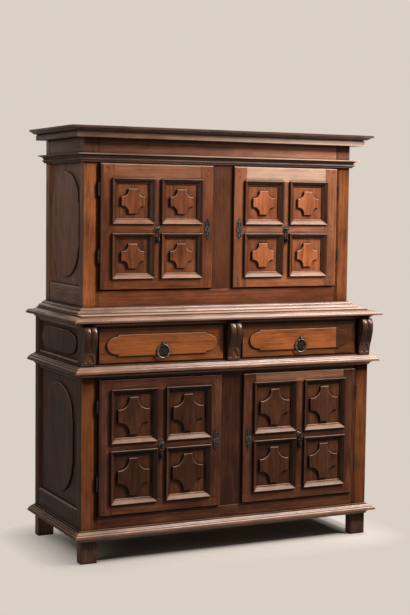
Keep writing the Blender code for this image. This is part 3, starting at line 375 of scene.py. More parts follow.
# Each look: its wood, roughness and shine
MATERIALS = {
    "walnut": wood("old_walnut", RED_WOOD, 0.36, 0.18),
    "walnut_orange": wood("orange_walnut", ORANGE_WOOD, 0.34, 0.18),
    "walnut_dark": wood("dark_walnut", DARK_WOOD, 0.36, 0.12),
    # The sides' look: its own shine is nearly off, as the reflection is painted into its colour
    "walnut_side": wood("greyed_side_walnut", GREYED_SIDE_WOOD, 0.42, 0.02),
    "inner_wood": wood("bare_walnut", BARE_WOOD, 0.62, 0.10),
    "iron": iron("black_iron"),
    "waxed_moulding": wood("waxed_moulding", WAXED_WOOD, 0.29, 0.44),
    "satin_moulding": wood("satin_moulding", WAXED_WOOD, 0.39, 0.40),
    "waxed_carving": wood("waxed_carving", DARK_WOOD, 0.25, 0.26),
}


# Shapes: each board, strip or fitting is made alone, then poured into its piece
def new_shape():
    part = bmesh.new()
    part.loops.layers.float_vector.new("grain")
    part.loops.layers.float_color.new("finish")
    part.verts.layers.float.new("rubbed")
    return part


def paint(part, along, tone, warm, shade, pale):
    """Gives a board its own place in the figure, its tone with any painted light or shade, its worn faces and
    its painted sheen.
    """
    grain = part.loops.layers.float_vector["grain"]
    finish = part.loops.layers.float_color["finish"]
    rubbed = part.verts.layers.float["rubbed"]
    offset = Vector([DRAW.uniform(-FIGURE_SPAN, FIGURE_SPAN) for _ in range(3)])
    order = GRAIN_ORDER[along]
    for face in part.faces:
        warmth = warm(face) if callable(warm) else warm
        depth = tone * shade(face) if shade else tone
        painted_sheen = pale(face) if callable(pale) else pale
        for loop in face.loops:
            worn = 1.0 if face.tag else loop.vert[rubbed]
            loop[grain] = Vector([loop.vert.co[i] for i in order]) + offset
            loop[finish] = (depth, warmth, worn, painted_sheen)


def pour(shape, part, along="z", tone=1.0, warm=0.0, shade=None, pale=0.0):
    paint(part, along, tone * DRAW.uniform(*TONE_SPREAD), warm, shade, pale)
    mesh = bpy.data.meshes.new("part")
    part.to_mesh(mesh)
    part.free()
    shape.from_mesh(mesh)
    bpy.data.meshes.remove(mesh)


def soften(part, width, edges=None, segments=2):
    """Rounds edges and marks the new faces as worn."""
    chosen = edges or [e for e in part.edges if e.is_manifold and e.calc_face_angle() > SHARP]
    made = bmesh.ops.bevel(part, geom=chosen, offset=width, segments=segments, profile=0.5, affect="EDGES",
                           clamp_overlap=True)
    for face in made["faces"]:
        face.tag = True


def block(a, b, edge=EDGE, crown=0.0):
    """A board with eased edges; a crown rounds its upper front edge more."""
    part = new_shape()
    middle = (Vector(a) + Vector(b)) / 2
    size = [abs(p - q) for p, q in zip(a, b)]
    bmesh.ops.create_cube(part, size=1.0, matrix=Matrix.Translation(middle) @ Matrix.Diagonal((*size, 1.0)))
    if crown:
        front = min(a[1], b[1])
        top = max(a[2], b[2])
        upper = [e for e in part.edges if all(abs(v.co.y - front) + abs(v.co.z - top) < 1e-6 for v in e.verts)]
        soften(part, crown, upper, 3)
    soften(part, edge)
    return part


def board(shape, a, b, along, tone=1.0, warm=0.0, edge=EDGE, pale=0.0, crown=0.0):
    pour(shape, block(a, b, edge, crown), along, tone, warm, pale=pale)


def slice_faces(part, point, normal):
    geometry = [*part.verts, *part.edges, *part.faces]
    bmesh.ops.bisect_plane(part, geom=geometry, plane_co=point, plane_no=normal)


def split_block(part, cuts):
    """Cuts a block's faces along (point, normal) planes, so each stretch can take its own tone."""
    for point, normal in cuts:
        slice_faces(part, point, normal)
    return mark_bevels(part)


def mark_bevels(part):
    """Marks the slanting faces of a block as worn."""
    for face in part.faces:
        face.tag = max(abs(c) for c in face.normal) < FLAT
    return part


def outward(part):
    """Turns all faces outward and clears their wear."""
    bmesh.ops.recalc_face_normals(part, faces=part.faces)
    for face in part.faces:
        face.tag = False
    return part


def loft(rings, closed=False, wear=None):
    """A skin through rings of points, capped at both ends or closed on itself."""
    part = new_shape()
    rubbed = part.verts.layers.float["rubbed"]
    loops = [[part.verts.new(point) for point in ring] for ring in rings]
    for ring in loops:
        for vert, share in zip(ring, wear or ()):
            vert[rubbed] = share
    pairs = list(zip(loops, loops[1:]))
    if closed:
        pairs.append((loops[-1], loops[0]))
    else:
        part.faces.new(loops[0])
        part.faces.new(loops[-1])
    for near, far in pairs:
        for i, _ in enumerate(near):
            part.faces.new((near[i - 1], near[i], far[i], far[i - 1]))
    return outward(part)


def turns(count):
    return [2 * pi * i / count for i in range(count)]


def turned(profile, place, steps=20):
    """A turned form from (radius, height) pairs, with flat ends."""
    rings = [[(radius * cos(t), radius * sin(t), height) for t in turns(steps)]
             for radius, height in profile]
    part = loft(rings)
    part.transform(place)
    return part


def prism(outline, depth, place, edge=SOFT_EDGE):
    """A flat outline raised by a depth along the place's Z, with its front edge rounded."""
    part = loft([[(u, v, height) for u, v in outline] for height in (0.0, depth)])
    front = max(part.faces, key=lambda face: face.calc_center_median().z)
    soften(part, edge, list(front.edges))
    part.transform(place)
    return part


def ring_wire(points, radius, sides):
    """A closed round wire through points; its radius may change along it."""
    rings = []
    count = len(points)
    for i, point in enumerate(points):
        ahead = points[(i + 1) % count] - points[i - 1]
        turn = ahead.to_track_quat("Z", "Y").to_matrix()
        thick = radius(i / count) if callable(radius) else radius
        spokes = [Vector((thick * cos(a), thick * sin(a), 0.0)) for a in turns(sides)]
        rings.append([point + turn @ spoke for spoke in spokes])
    return loft(rings, closed=True)


def circle(centre, radius, normal_axis, count):
    """Points of a circle about an axis named x or y."""
    if normal_axis == "x":
        return [centre + Vector((0.0, radius * cos(t), radius * sin(t))) for t in turns(count)]
    return [centre + Vector((radius * cos(t), 0.0, radius * sin(t))) for t in turns(count)]


FACING_FRONT = Matrix.Rotation(pi / 2, 4, "X")


def at_front(x, y, z):
    return Matrix.Translation((x, y, z)) @ FACING_FRONT


def facing_side(side):
    return Matrix.Rotation(side * pi / 2, 4, "Z") @ FACING_FRONT


def show(name, shape, slot, body, replaced=(), sharp=35, look=None):
    """Turns a shape into a piece that rides on a body and stands for CAD nodes."""
    mesh = bpy.data.meshes.new(name)
    shape.to_mesh(mesh)
    shape.free()
    mesh.materials.append(MATERIALS[look or slot])
    mesh.shade_smooth()
    mesh.set_sharp_from_angle(angle=radians(sharp))
    made = bpy.data.objects.new(name, mesh)
    bpy.context.scene.collection.objects.link(made)
    normals = made.modifiers.new("even_normals", "WEIGHTED_NORMAL")
    normals.keep_sharp = True
    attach(made, body)
    if replaced:
        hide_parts(*replaced)


# Outlines
def smooth_step(share):
    share = min(max(share, 0.0), 1.0)
    return share * share * (3 - 2 * share)


def arc(centre, radii, start, end, steps=8):
    angles = [radians(start + (end - start) * i / steps) for i in range(steps + 1)]
    return [(centre[0] + radii[0] * cos(a), centre[1] + radii[1] * sin(a)) for a in angles]


def hollow_corner_field(half_width, half_height, radius, step):
    cu = half_width - step
    cv = half_height - step
    hollow = arc((cu, cv), (radius, radius), 270, 180)
    corner = [(half_width, cv - radius)] + hollow + [(cu - radius, half_height)]
    top_left = [(-u, v) for u, v in reversed(corner)]
    return corner + top_left + [(-u, -v) for u, v in corner + top_left]


def round_ended_field(half_width, half_height, straight, step):
    middle = straight / 2
    bow = arc((0, middle), (half_width - step, half_height - middle), 0, 180, 24)
    end = [(half_width, middle)] + bow + [(-half_width, middle)]
    return end + [(-u, -v) for u, v in end]


def quarter_turned(outline):
    return [(v, u) for u, v in reversed(outline)]


# Mouldings that run round the front and both sides
FASCIA = 0.022
CROWN_TOP = 0.038
CROWN_STEPS = 10
ARCHITRAVE_HEIGHT = 0.036
FILLET = 0.005
TIP = 0.005
BED = 0.120
BED_GAP = 0.0002
RETURN_TONE = 1.1
WAVER = 0.0004
WAVER_SCALE = 9.0
WORN_TURN = radians(70)
# Depth of the painted shadow under the cornice on the frieze, and how many stretches carry its painted light
FRIEZE_PAINTED_SHADOW = 0.012
FRIEZE_STRETCHES = 40


def reeds(start, end, count, bow, bulge=0.20, facets=8):
    """Reeds on a slope that is bowed outward."""
    slope = Vector(end) - Vector(start)
    outward_way = Vector((slope.y, -slope.x))
    points = []
    for i in range(count * facets):
        share = i / (count * facets)
        lift = bulge / count * sin(pi * (i % facets) / facets) + 4 * bow * share * (1 - share)
        points.append(tuple(Vector(start) + slope * share + outward_way * lift))
    return points


def band_profile(overhang, cove, rise):
    """A hollow, a flat edge and a slope of three reeds."""
    tip = overhang - FILLET / 2
    edge = cove + TIP
    top = cove + rise
    hollow = arc((tip, 0), (tip - FILLET, cove), 180, 90)
    slope = reeds((tip, edge), (FILLET, top - FILLET), 3, 0.10)
    return ([(GAP, 0)] + hollow + [(overhang, cove), (overhang, edge)] + slope
            + [(FILLET, top - FILLET), (FILLET, top), (GAP, top)])


def architrave_profile(reach=0.039, height=ARCHITRAVE_HEIGHT, bead=0.0042, bead_z=0.0110, cove_z=0.0165):
    """A flat, a bead and a hollow under a thin edge."""
    foot = reach * 0.28
    neck = foot + 0.003
    top = height - FILLET
    tip = reach - FILLET / 2
    roll = arc((foot + 0.004, bead_z), (bead, bead), -90, 90)
    hollow = arc((tip, cove_z), (tip - neck, top - cove_z), 180, 90, 12)
    return ([(GAP, 0), (foot, 0), (foot, 0.0062)] + roll + [(neck, 0.0156)] + hollow
            + [(reach, top), (reach, height), (GAP, height)])


def cornice_profile(height=0.048, out=0.050, reach=0.082, bed=0.040, quirk=0.0055, sunk=0.0035, lip=0.0008):
    """A flat fascia, a groove and a swaying crown."""
    groove = FASCIA + quirk
    start = out + 0.004
    end = reach - 0.0025
    slope = []
    for i in range(CROWN_STEPS + 1):
        share = i / CROWN_STEPS
        sway = 0.0016 * sin(2 * pi * share)
        slope.append((start + (end - start) * share, groove + (CROWN_TOP - groove) * share - sway))
    return ([(-bed, 0), (out, 0), (out, FASCIA), (out - sunk, FASCIA + lip), (out - sunk, groove)] + slope
            + [(reach, CROWN_TOP + lip), (reach, height), (-bed, height)])


def waist_profile(overhang=0.048, cove=0.017, height=0.0442, reeded=0.024, rise=0.011, slope=0.028):
    """A hollow, a flat edge, two reeds and a long slope up to the flat top."""
    tip = overhang - FILLET / 2
    edge = cove + TIP
    inner = overhang - reeded
    crest = edge + rise
    last = inner - slope
    levels = arc((tip, 0), (tip - FILLET, cove), 180, 90)
    levels += [(overhang, cove), (overhang, edge)] + reeds((tip, edge), (inner, crest), 2, 0.12)
    return levels + [(inner, crest), (last, height - FILLET), (last, height), (-BED, height), (-BED, 0)]


def plinth_profile(overhang=0.038, height=0.029):
    """Two rounds, one above the other."""
    step = height / 2
    middle = overhang * 0.62
    lower = arc((middle, 0), (overhang - middle, step), 0, 90)
    upper = arc((FILLET, step + FILLET / 2), (middle - 2 * FILLET, step - FILLET), 0, 90)
    return lower + upper + [(FILLET, height), (-BED, height), (-BED, 0)]


def wavering(point, amount):
    """A point shifted by the slow unevenness of hand work."""
    return point + noise.noise_vector(point * WAVER_SCALE) * amount


def edge_wear(profile):
    """How sharply each point of a closed outline stands out, from 0 to 1."""
    after = profile[1:] + profile[:1]
    before = profile[-1:] + profile[:-1]
    area = sum(a[0] * b[1] - b[0] * a[1] for a, b in zip(profile, after))
    shares = []
    for last, here, following in zip(before, profile, after):
        first = Vector(here) - Vector(last)
        second = Vector(following) - Vector(here)
        turn = copysign(1.0, area) * atan2(first.cross(second), first.dot(second))
        shares.append(min(1.0, max(0.0, turn / WORN_TURN)))
    return shares


def moulding_length(profile, start, end, amount=WAVER, stations=40):
    """A loft of a profile between two mitred ends; start and end map a profile point to space."""
    rings = []
    for i in range(stations + 1):
        share = i / stations
        rings.append([wavering(start(p).lerp(end(p), share), amount) for p in profile])
    return loft(rings, wear=edge_wear(profile))


def run_of_moulding(name, node, profile, level, z, tone=1.0, bed_top=None, shade=None, pale=0.0,
                    look="waxed_moulding"):
    """A front length and two returns with mitred corners; a bed board fills the middle where one is wanted."""
    def corner(side):
        return lambda p: Vector((side * (level.half + p[0]), level.front - p[0], z + p[1]))

    def back(side):
        return lambda p: Vector((side * (level.half + p[0]), BACK_Y, z + p[1]))

    shape = new_shape()
    pour(shape, moulding_length(profile, corner(-1), corner(1), stations=90), "x", tone, 0.0, shade, pale)
    returns = new_shape()
    for _, side in SIDES:
        pour(returns, moulding_length(profile, back(side), corner(side)), "y", RETURN_TONE)
    if bed_top:
        inset = BED + BED_GAP
        end = level.half - inset
        board(shape, (-end, level.front + inset, z), (end, BACK_Y, bed_top), "x")
    show(name, shape, "walnut", level.body, [node], 30, look)
    show(f"{name}_returns", returns, "walnut", level.body, (), 30, "walnut_side")


def painted_light_share(face):
    """Share of painted light on the top of the front, growing towards the right: none on the left, full on the
    right.
    """
    share = face.calc_center_median().x / (2 * UPPER.half) + 0.5
    return smooth_step((share - 0.15) / 0.65)


def on_crown(face):
    return face.calc_center_median().z > CORNICE_Z + FASCIA


# Painted light on the fascia, lighter towards the right; the crown darker, its top edge darkest
def cornice_shade(face):
    if on_crown(face):
        return 0.85 if face.calc_center_median().z < CORNICE_Z + CROWN_TOP else 0.30
    return 1.25 + 0.45 * painted_light_share(face)


# Painted highlight: the fascia paler towards the right
def cornice_pale(face):
    return 0.0 if on_crown(face) else 0.06 + 0.78 * painted_light_share(face)


# Painted highlight on the architrave's top edge, paler towards the right
def architrave_pale(face):
    at_edge = face.calc_center_median().z > ARCHITRAVE_Z + ARCHITRAVE_HEIGHT - FILLET
    return 0.35 + 0.45 * painted_light_share(face) if at_edge else 0.0


# Painted shadow under the cornice along the frieze's top, and painted light growing towards the right
def frieze_shade(face):
    shadow = 0.20 if face.calc_center_median().z > UPPER.top - FRIEZE_PAINTED_SHADOW else 1.0
    return shadow * (0.95 + 1.50 * painted_light_share(face))


# Painted sheen on the frieze, paler towards the right
def frieze_pale(face):
    return 0.04 + 0.30 * painted_light_share(face)


def mouldings():
    run_of_moulding("base_reeding", "base_moulding", band_profile(0.038, 0.020, 0.029), LOWER, BASE_Z, 1.2)
    run_of_moulding("belt_reeding", "belt_moulding", band_profile(0.041, 0.018, 0.032), LOWER, BELT_Z, 1.35)
    run_of_moulding("waist_top", "waist_top_board", waist_profile(), LOWER, WAIST_Z,
                    bed_top=PLINTH_Z - GAP, look="satin_moulding")
    run_of_moulding("upper_plinth", "upper_base_board", plinth_profile(), UPPER, PLINTH_Z,
                    bed_top=UPPER.foot - GAP)
    run_of_moulding("architrave", "architrave_moulding", architrave_profile(), UPPER, ARCHITRAVE_Z,
                    pale=architrave_pale)
    run_of_moulding("crown_moulding", "cornice", cornice_profile(), UPPER, CORNICE_Z,
                    shade=cornice_shade, pale=cornice_pale)


# Pegs that hold the joints
def pegs(shape, places, direction):
    """Round pegs a little proud of a face; places are on the face, direction points out of it."""
    turn = Vector(direction).to_track_quat("Z", "Y").to_matrix().to_4x4()
    for place in places:
        radius = PEG_RADIUS * DRAW.uniform(0.85, 1.1)
        profile = [(radius, -PEG_DEPTH), (radius, PEG_PROUD * 0.6), (radius * 0.8, PEG_PROUD)]
        pour(shape, turned(profile, Matrix.Translation(place) @ turn, 10), "x", 0.55)


# Doors
LAP = 0.009
LIP_WIDTH = 0.011
# Tone of the hinge stile's edge: painted shade beside the post, deepest on the left doors
LIP_PAINTED_SHADE = {-1: 0.50, 1: 0.85}
WORN_FOOT = 0.0055
BEAD_STEPS = 7
PANEL_TONGUE = 0.003
PANEL_GROUND = 0.009
FIELD_SEAT = 0.002
FIELD_DEPTH = 0.012

# Tones of the left, bottom, right and top lengths of a panel's moulding: painted light and shade, the
# up-facing bottom lengths lit, the down-facing top ones darkest; the bottom lengths also take a painted
# highlight
BEAD_LIGHT_AND_SHADE = (0.55, 1.10, 0.55, 0.32)
# Painted highlight on each length, on the bottom ones only
BEAD_HIGHLIGHT = (0.0, 0.08, 0.0, 0.0)

# The cells of a door, with the tones of their fields
CELL_SHARES = {"bottom_left": 0.90, "bottom_right": 1.04, "top_left": 1.14, "top_right": 0.96}

# Looks of each door: tones of frame, fields and top rail, painted sheen on the frame and top rail, and
# roundness of the top rail
DOOR_LOOKS = {
    "lower_left": Values(tone=1.29, warm=0.0, pale=0.0, field_tone=0.54,
                         rail_tone=1.4, rail_pale=0.0, crown=0.002),
    "lower_right": Values(tone=1.32, warm=0.0, pale=0.0, field_tone=0.52,
                          rail_tone=2.1, rail_pale=0.12, crown=0.007),
    "upper_left": Values(tone=1.02, warm=0.0, pale=0.0, field_tone=0.82,
                         rail_tone=1.4, rail_pale=0.10, crown=0.006),
    "upper_right": Values(tone=1.03, warm=0.45, pale=0.05, field_tone=1.38,
                          rail_tone=1.2, rail_pale=0.62, crown=0.006),
}


class Door:
    """Planes, edges and cells of one door."""
    def __init__(self, level, label, side):
        self.level = level
        self.side = side
        self.name = f"{level.name}_{label}"
        self.body = f"{self.name}_door"
        self.look = DOOR_LOOKS[self.name]
        self.face = level.front - DOOR_PROUD
        self.back = self.face + DOOR_THICKNESS
        self.lock = side * (level.centre_half + DOOR_GAP)
        self.hinge = side * (level.half - level.post - DOOR_GAP)
        self.bottom = level.rail_top + DOOR_GAP
        self.top = self.bottom + level.door_height
        self.foot = self.bottom + WORN_FOOT
        self.cells = {}
        for cell in CELL_SHARES:
            lo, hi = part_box(f"{self.name}_door_panel_{cell}")
            self.cells[cell] = ((lo.x + hi.x) / 2, (lo.z + hi.z) / 2)
        self.half_width = (hi.x - lo.x) / 2 + PANEL_TONGUE
        self.half_height = (hi.z - lo.z) / 2 + PANEL_TONGUE
        self.columns = sorted({round(x, 5) for x, _ in self.cells.values()})
        self.rows = sorted({round(z, 5) for _, z in self.cells.values()})
        xs, zs = zip(*self.cells.values())
        self.crossing = ((min(xs) + max(xs)) / 2, (min(zs) + max(zs)) / 2)


def plank(shape, door, a, b, along, tone, pale=0.0):
    look = door.look
    crown = look.crown if b[1] == door.top else 0.0
    board(shape, (a[0], door.face, a[1]), (b[0], door.back, b[1]), along, look.tone * tone, look.warm,
          pale=look.pale + pale, crown=crown)


def door_stiles(shape, door, inner_left, inner_right):
    """Both stiles; the edge of the hinge stile is a darker lip of painted shade, deepest on the left doors."""
    lip = door.hinge - door.side * LIP_WIDTH
    first, last = sorted((door.lock, lip))
    spans = (sorted((lip, door.hinge)), (first, inner_left), (inner_right, last))
    for (left, right), tone in zip(spans, (LIP_PAINTED_SHADE[door.side], 1.0, 1.0)):
        plank(shape, door, (left, door.foot), (right, door.top), "z", tone)


def rail_levels(door):
    """Lower and upper edges of the bottom, middle and top rails."""
    low, high = door.rows
    tall = door.half_height - LAP
    return [(door.foot, low - tall), (low + tall, high - tall), (high + door.half_height - LAP / 3, door.top)]


def door_rails(shape, door, levels, inner_left, inner_right):
    """Three rails, then the muntins between them."""
    look = door.look
    # Tone and painted sheen of the bottom, middle and top rails
    shades = ((1.05, 0.0), (1.05, 2 * look.pale), (look.rail_tone, look.rail_pale))
    for (low, high), (tone, pale) in zip(levels, shades):
        plank(shape, door, (inner_left + JOINT, low), (inner_right - JOINT, high), "x", tone, pale)
    wide = door.half_width - LAP
    left, right = door.columns
    for (_, low), (high, _) in zip(levels, levels[1:]):
        plank(shape, door, (left + wide, low + JOINT), (right - wide, high - JOINT), "z", 1.0)


def door_pegs(shape, door, levels, left, right):
    places = []
    for low, high in levels:
        spread = min(0.016, (high - low) * 0.22)
        for x in (left + door.level.stile / 2, right - door.level.stile / 2):
            for s in (-1, 1):
                places.append((x + DRAW.uniform(-0.004, 0.004), door.face, (low + high) / 2 + s * spread))
    pegs(shape, places, (0, -1, 0))


def door_joinery(door):
    """Stiles, rails and muntins, jointed and pegged, with a mitred moulding round each panel."""
    shape = new_shape()
    left, right = sorted((door.lock, door.hinge))
    inner_left = left + door.level.stile + LAP
    inner_right = right - door.level.stile - LAP
    levels = rail_levels(door)
    door_stiles(shape, door, inner_left, inner_right)
    door_rails(shape, door, levels, inner_left, inner_right)
    for centre in door.cells.values():
        bead_round_panel(shape, door, centre)
    door_pegs(shape, door, levels, left, right)
    show(f"{door.name}_door_joinery", shape, door.level.slot, door.body, [f"{door.name}_door_frame"])


def bead_profile(width, rise=0.0100, sunk=0.0091, ridge=0.0024, flat=0.0052, start=0.0040):
    """The moulding round a panel as (inset, rise): a rounded ridge, a long slope, a step and a flat."""
    foot = width - flat
    points = [(0, -rise / 4)] + arc((ridge, rise - ridge), (ridge, ridge), 180, 60, 5)
    for i in range(1, BEAD_STEPS + 1):
        share = i / BEAD_STEPS
        sway = 0.0011 * sin(pi * share) - 0.0006 * sin(2 * pi * share)
        points.append((start + (foot - start) * share, rise - (rise + 0.0055) * share + sway))
    points += [(foot, -0.0085), (foot + 0.0010, -0.0052), (foot + 0.0032, -0.0052), (width, -0.0082)]
    return points + [(width, -sunk), (LAP / 3, -sunk)]


def bead_round_panel(shape, door, centre):
    """Four lengths with mitred ends, each with the grain along it."""
    profile = bead_profile(door.level.beading)
    corners = ((-1, -1), (1, -1), (1, 1), (-1, 1))

    def at(corner):
        return lambda p: Vector((centre[0] + corner[0] * (door.half_width - p[0]), door.face - p[1],
                                 centre[1] + corner[1] * (door.half_height - p[0])))

    # Each length takes its painted light or shade, and the bottom ones a painted highlight
    for i, (tone, pale) in enumerate(zip(BEAD_LIGHT_AND_SHADE, BEAD_HIGHLIGHT)):
        along = "z" if i % 2 == 0 else "x"
        part = moulding_length(profile, at(corners[i - 1]), at(corners[i]), 0.0003, 12)
        pour(shape, part, along, door.look.tone * tone * DRAW.uniform(0.85, 1.05), pale=pale)


def door_panels(door):
    """Four panels, each a flat board with a raised field."""
    level = door.level
    margin, radius, step = level.field
    inset = level.beading + margin
    outline = hollow_corner_field(door.half_width - inset, door.half_height - inset, radius, step)
    share, ground_warm = level.ground
    for cell, (x, z) in door.cells.items():
        node = f"{door.name}_door_panel_{cell}"
        lo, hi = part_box(node)
        ground = hi.y - PANEL_GROUND
        shape = new_shape()
        tone = door.look.tone * door.look.field_tone * CELL_SHARES[cell] * DRAW.uniform(0.94, 1.06)
        warm = DRAW.uniform(*level.field_warm)
        board(shape, (lo.x, ground, lo.z), (hi.x, hi.y, hi.z), "z", tone * share, ground_warm)
        pour(shape, prism(outline, FIELD_DEPTH, at_front(x, ground + FIELD_SEAT, z)), "z", tone, warm)
        show(f"{node}_fielded", shape, level.slot, door.body, [node])


# Ironwork of the doors
BLACKENED = 0.35
KNUCKLE_REACH = 0.0062
KNUCKLE_RADIUS = 0.0055
KNUCKLE_LENGTH = 0.028
LOW_HINGE = 0.150
HIGH_HINGE = 0.115
FINIAL_HEIGHT = 0.009
PIN_RADIUS = 0.0022
PIN_HEIGHT = 0.019
TAB = 0.002
PULL_TIP = 0.0145
PULL_PIN = 0.004
EYE_RADIUS = 0.0034
DROP_LENGTH = 0.066
DROP_RADIUS = 0.0078
PETAL_STEPS = 48

# Shares of radius and height, from foot to tip
FINIAL = ((1.0, 0.0), (0.42, 0.12), (0.36, 0.22), (0.62, 0.45), (0.58, 0.62), (0.26, 0.80),
          (0.2, 0.9), (0.02, 1.0))
BARREL = ((0.94, 0.0), (1.0, 0.06), (1.0, 0.5), (1.0, 0.94), (0.94, 1.0))
PETALS = ((1.0, 0.0), (1.0, 0.35), (0.88, 0.62), (0.66, 0.5), (0.5, 0.55), (0.42, 0.85),
          (0.3, 1.0), (0.05, 1.1))
DROP = ((0.05, 0.0), (0.30, 0.0), (0.30, 0.06), (0.34, 0.10), (0.58, 0.12), (0.64, 0.14), (0.58, 0.16),
        (0.34, 0.18), (0.40, 0.30), (0.52, 0.45), (0.78, 0.60), (1.0, 0.72), (1.0, 0.79), (0.86, 0.85),
        (0.52, 0.90), (0.40, 0.92), (0.46, 0.94), (0.50, 0.97), (0.08, 1.0))
NAIL = ((0.0019, -0.0006), (0.0018, 0.0002), (0.0011, 0.0008), (0.0003, 0.001))
NAIL_PLACES = ((0, 0.86), (0, -0.86), (0.62, 0.05), (-0.62, 0.05))


def profile_of(shares, radius, start, length):
    return [(radius * wide, start + length * high) for wide, high in shares]


def knuckle_places(door):
    x = door.hinge + door.side * KNUCKLE_REACH
    heights = (door.bottom + LOW_HINGE, door.top - HIGH_HINGE)
    return [Vector((x, door.level.front - KNUCKLE_REACH, z)) for z in heights]


def hinge_iron(door):
    """Moving knuckles on the door and fixed ones on the post."""
    moving = new_shape()
    fixed = new_shape()
    upper = profile_of(BARREL, KNUCKLE_RADIUS, GAP, KNUCKLE_LENGTH - GAP)[:-1]
    upper += profile_of(FINIAL, KNUCKLE_RADIUS, KNUCKLE_LENGTH, FINIAL_HEIGHT)
    lower = [(PIN_RADIUS, PIN_HEIGHT), (PIN_RADIUS, 0.0)]
    lower += profile_of(BARREL, KNUCKLE_RADIUS, 0.0, -KNUCKLE_LENGTH)[:-1]
    lower += profile_of(FINIAL, KNUCKLE_RADIUS, -KNUCKLE_LENGTH, -FINIAL_HEIGHT)
    for place in knuckle_places(door):
        x, y, z = place
        spot = Matrix.Translation(place)
        pour(moving, turned(upper, spot, 16), tone=BLACKENED)
        pour(fixed, turned(lower, spot, 16), tone=BLACKENED)
        board(moving, (x - door.side * 0.004, y - TAB, z + 0.0206),
              (x - door.side * 0.0102, y + TAB, z + 0.027), "z", edge=TAB_EDGE)
        board(fixed, (x - TAB, y, z - 0.004),
              (x + TAB, door.level.front + 0.004, z - 0.024), "z", edge=TAB_EDGE)
    show(f"{door.name}_hinge_sockets", moving, "iron", door.body)
    show(f"{door.name}_hinge_pins", fixed, "iron", door.level.body)


def petal_disc(radius, height, petals, place):
    """A rosette: petals that swell from a rim to a boss."""
    rings = []
    for share, rise in PETALS:
        ring = []
        for turn in turns(PETAL_STEPS):
            lobe = 1 - 0.16 * share * abs(sin(petals * turn / 2)) ** 0.7
            swell = 1 + 0.25 * (abs(cos(petals * turn / 2)) - 0.5) * share
            wide = radius * share * lobe
            ring.append(place @ Vector((wide * cos(turn), wide * sin(turn), height * rise * swell)))
        rings.append(ring)
    return loft(rings)


def pull_mount(door):
    """Rosette, two cheeks and the pin of a drop pull."""
    x, z = door.crossing
    shape = new_shape()
    pour(shape, petal_disc(0.0165, 0.005, 8, at_front(x, door.face + 0.0004, z)), tone=1.5)
    tip = door.face - PULL_TIP
    for s in (-1, 1):
        board(shape, (x + s * 0.005, door.face - 0.003, z - 0.004), (x + s * 0.003, tip, z + 0.004), "y",
              edge=IRON_EDGE)
    axis = Matrix.Translation((x, tip + PULL_PIN, z)) @ Matrix.Rotation(pi / 2, 4, "Y")
    pour(shape, turned([(0.0015, -0.0062), (0.0015, 0.0062)], axis, 12))
    show(f"{door.name}_pull_mount", shape, "iron", door.body)


def drop_pull(door):
    """An eye round the pin, and a turned drop under it."""
    x, z = door.crossing
    eye = Vector((x, door.face - PULL_TIP + PULL_PIN, z - GAP))
    shape = new_shape()
    pour(shape, ring_wire(circle(eye, EYE_RADIUS, "x", 24), 0.0013, 8))
    profile = profile_of(DROP, DROP_RADIUS, -EYE_RADIUS, EYE_RADIUS - DROP_LENGTH)
    pour(shape, turned(profile, Matrix.Translation(eye), 18), tone=BLACKENED)
    show(f"{door.name}_iron_drop", shape, "iron", f"{door.name}_drop", [f"{door.name}_drop_pull"], 50)


def escutcheon_loops(half_width, half_height):
    """A scrolled rim, a keyhole and eight small piercings."""
    rim = []
    for turn in turns(96):
        share = 1 - 0.30 * (1 - cos(8 * turn)) / 2 * (0.5 + 0.5 * abs(sin(turn)))
        rim.append((half_width * share * cos(turn), half_height * share * sin(turn)))
    hole = arc((0, 0), (0.0030, 0.0030), -60, 240, 12) + [(-0.0014, -0.010), (0.0014, -0.010)]
    loops = [rim, hole]
    for s in (-1, 1):
        for v, radius in ((0.36, 0.0036), (-0.36, 0.0036), (0.60, 0.0030), (-0.60, 0.0030)):
            loops.append(arc((s * half_width * 0.38, v * half_height), (radius, radius * 1.5), 0, 340, 12))
    return loops


def pierced_plate(name, loops):
    """A thin plate with rounded edges, filled between its loops."""
    curve = bpy.data.curves.new(name, "CURVE")
    curve.dimensions = "2D"
    curve.fill_mode = "BOTH"
    curve.extrude = 0.0007
    curve.bevel_depth = 0.0005
    curve.bevel_resolution = 1
    for loop in loops:
        spline = curve.splines.new("POLY")
        spline.points.add(len(loop) - 1)
        for point, (u, v) in zip(spline.points, loop):
            point.co = (u, v, 0.0, 1.0)
        spline.use_cyclic_u = True
    scratch = bpy.data.objects.new(name, curve)
    bpy.context.scene.collection.objects.link(scratch)
    mesh = bpy.data.meshes.new_from_object(scratch.evaluated_get(bpy.context.evaluated_depsgraph_get()))
    bpy.data.objects.remove(scratch)
    part = new_shape()
    part.from_mesh(mesh)
    bmesh.ops.remove_doubles(part, verts=part.verts, dist=0.00001)
    return part


def escutcheon(door):
    """A pierced plate of scrolls round a keyhole, with four small nails."""
    node = f"{door.name}_escutcheon"
    lo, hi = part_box(node)
    middle = (lo + hi) / 2
    half = (hi - lo) / 2
    part = pierced_plate(node, escutcheon_loops(half.x * 0.86, half.z - 0.0006))
    part.transform(at_front(middle.x, hi.y - 0.0012, middle.z))
    shape = new_shape()
    pour(shape, part, tone=door.level.iron_tone)
    for u, v in NAIL_PLACES:
        place = at_front(middle.x + u * half.x, hi.y - 0.0022, middle.z + v * half.z)
        pour(shape, turned(NAIL, place, 10))
    show(f"{node}_scrolled", shape, "iron", door.body, [node])


def lock_bolt(door):
    node = f"{door.name}_lock_bolt"
    lo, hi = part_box(node)
    shape = new_shape()
    board(shape, lo, hi, "x", edge=IRON_EDGE)
    show(f"{door.name}_iron_bolt", shape, "iron", f"{door.name}_bolt", [node])


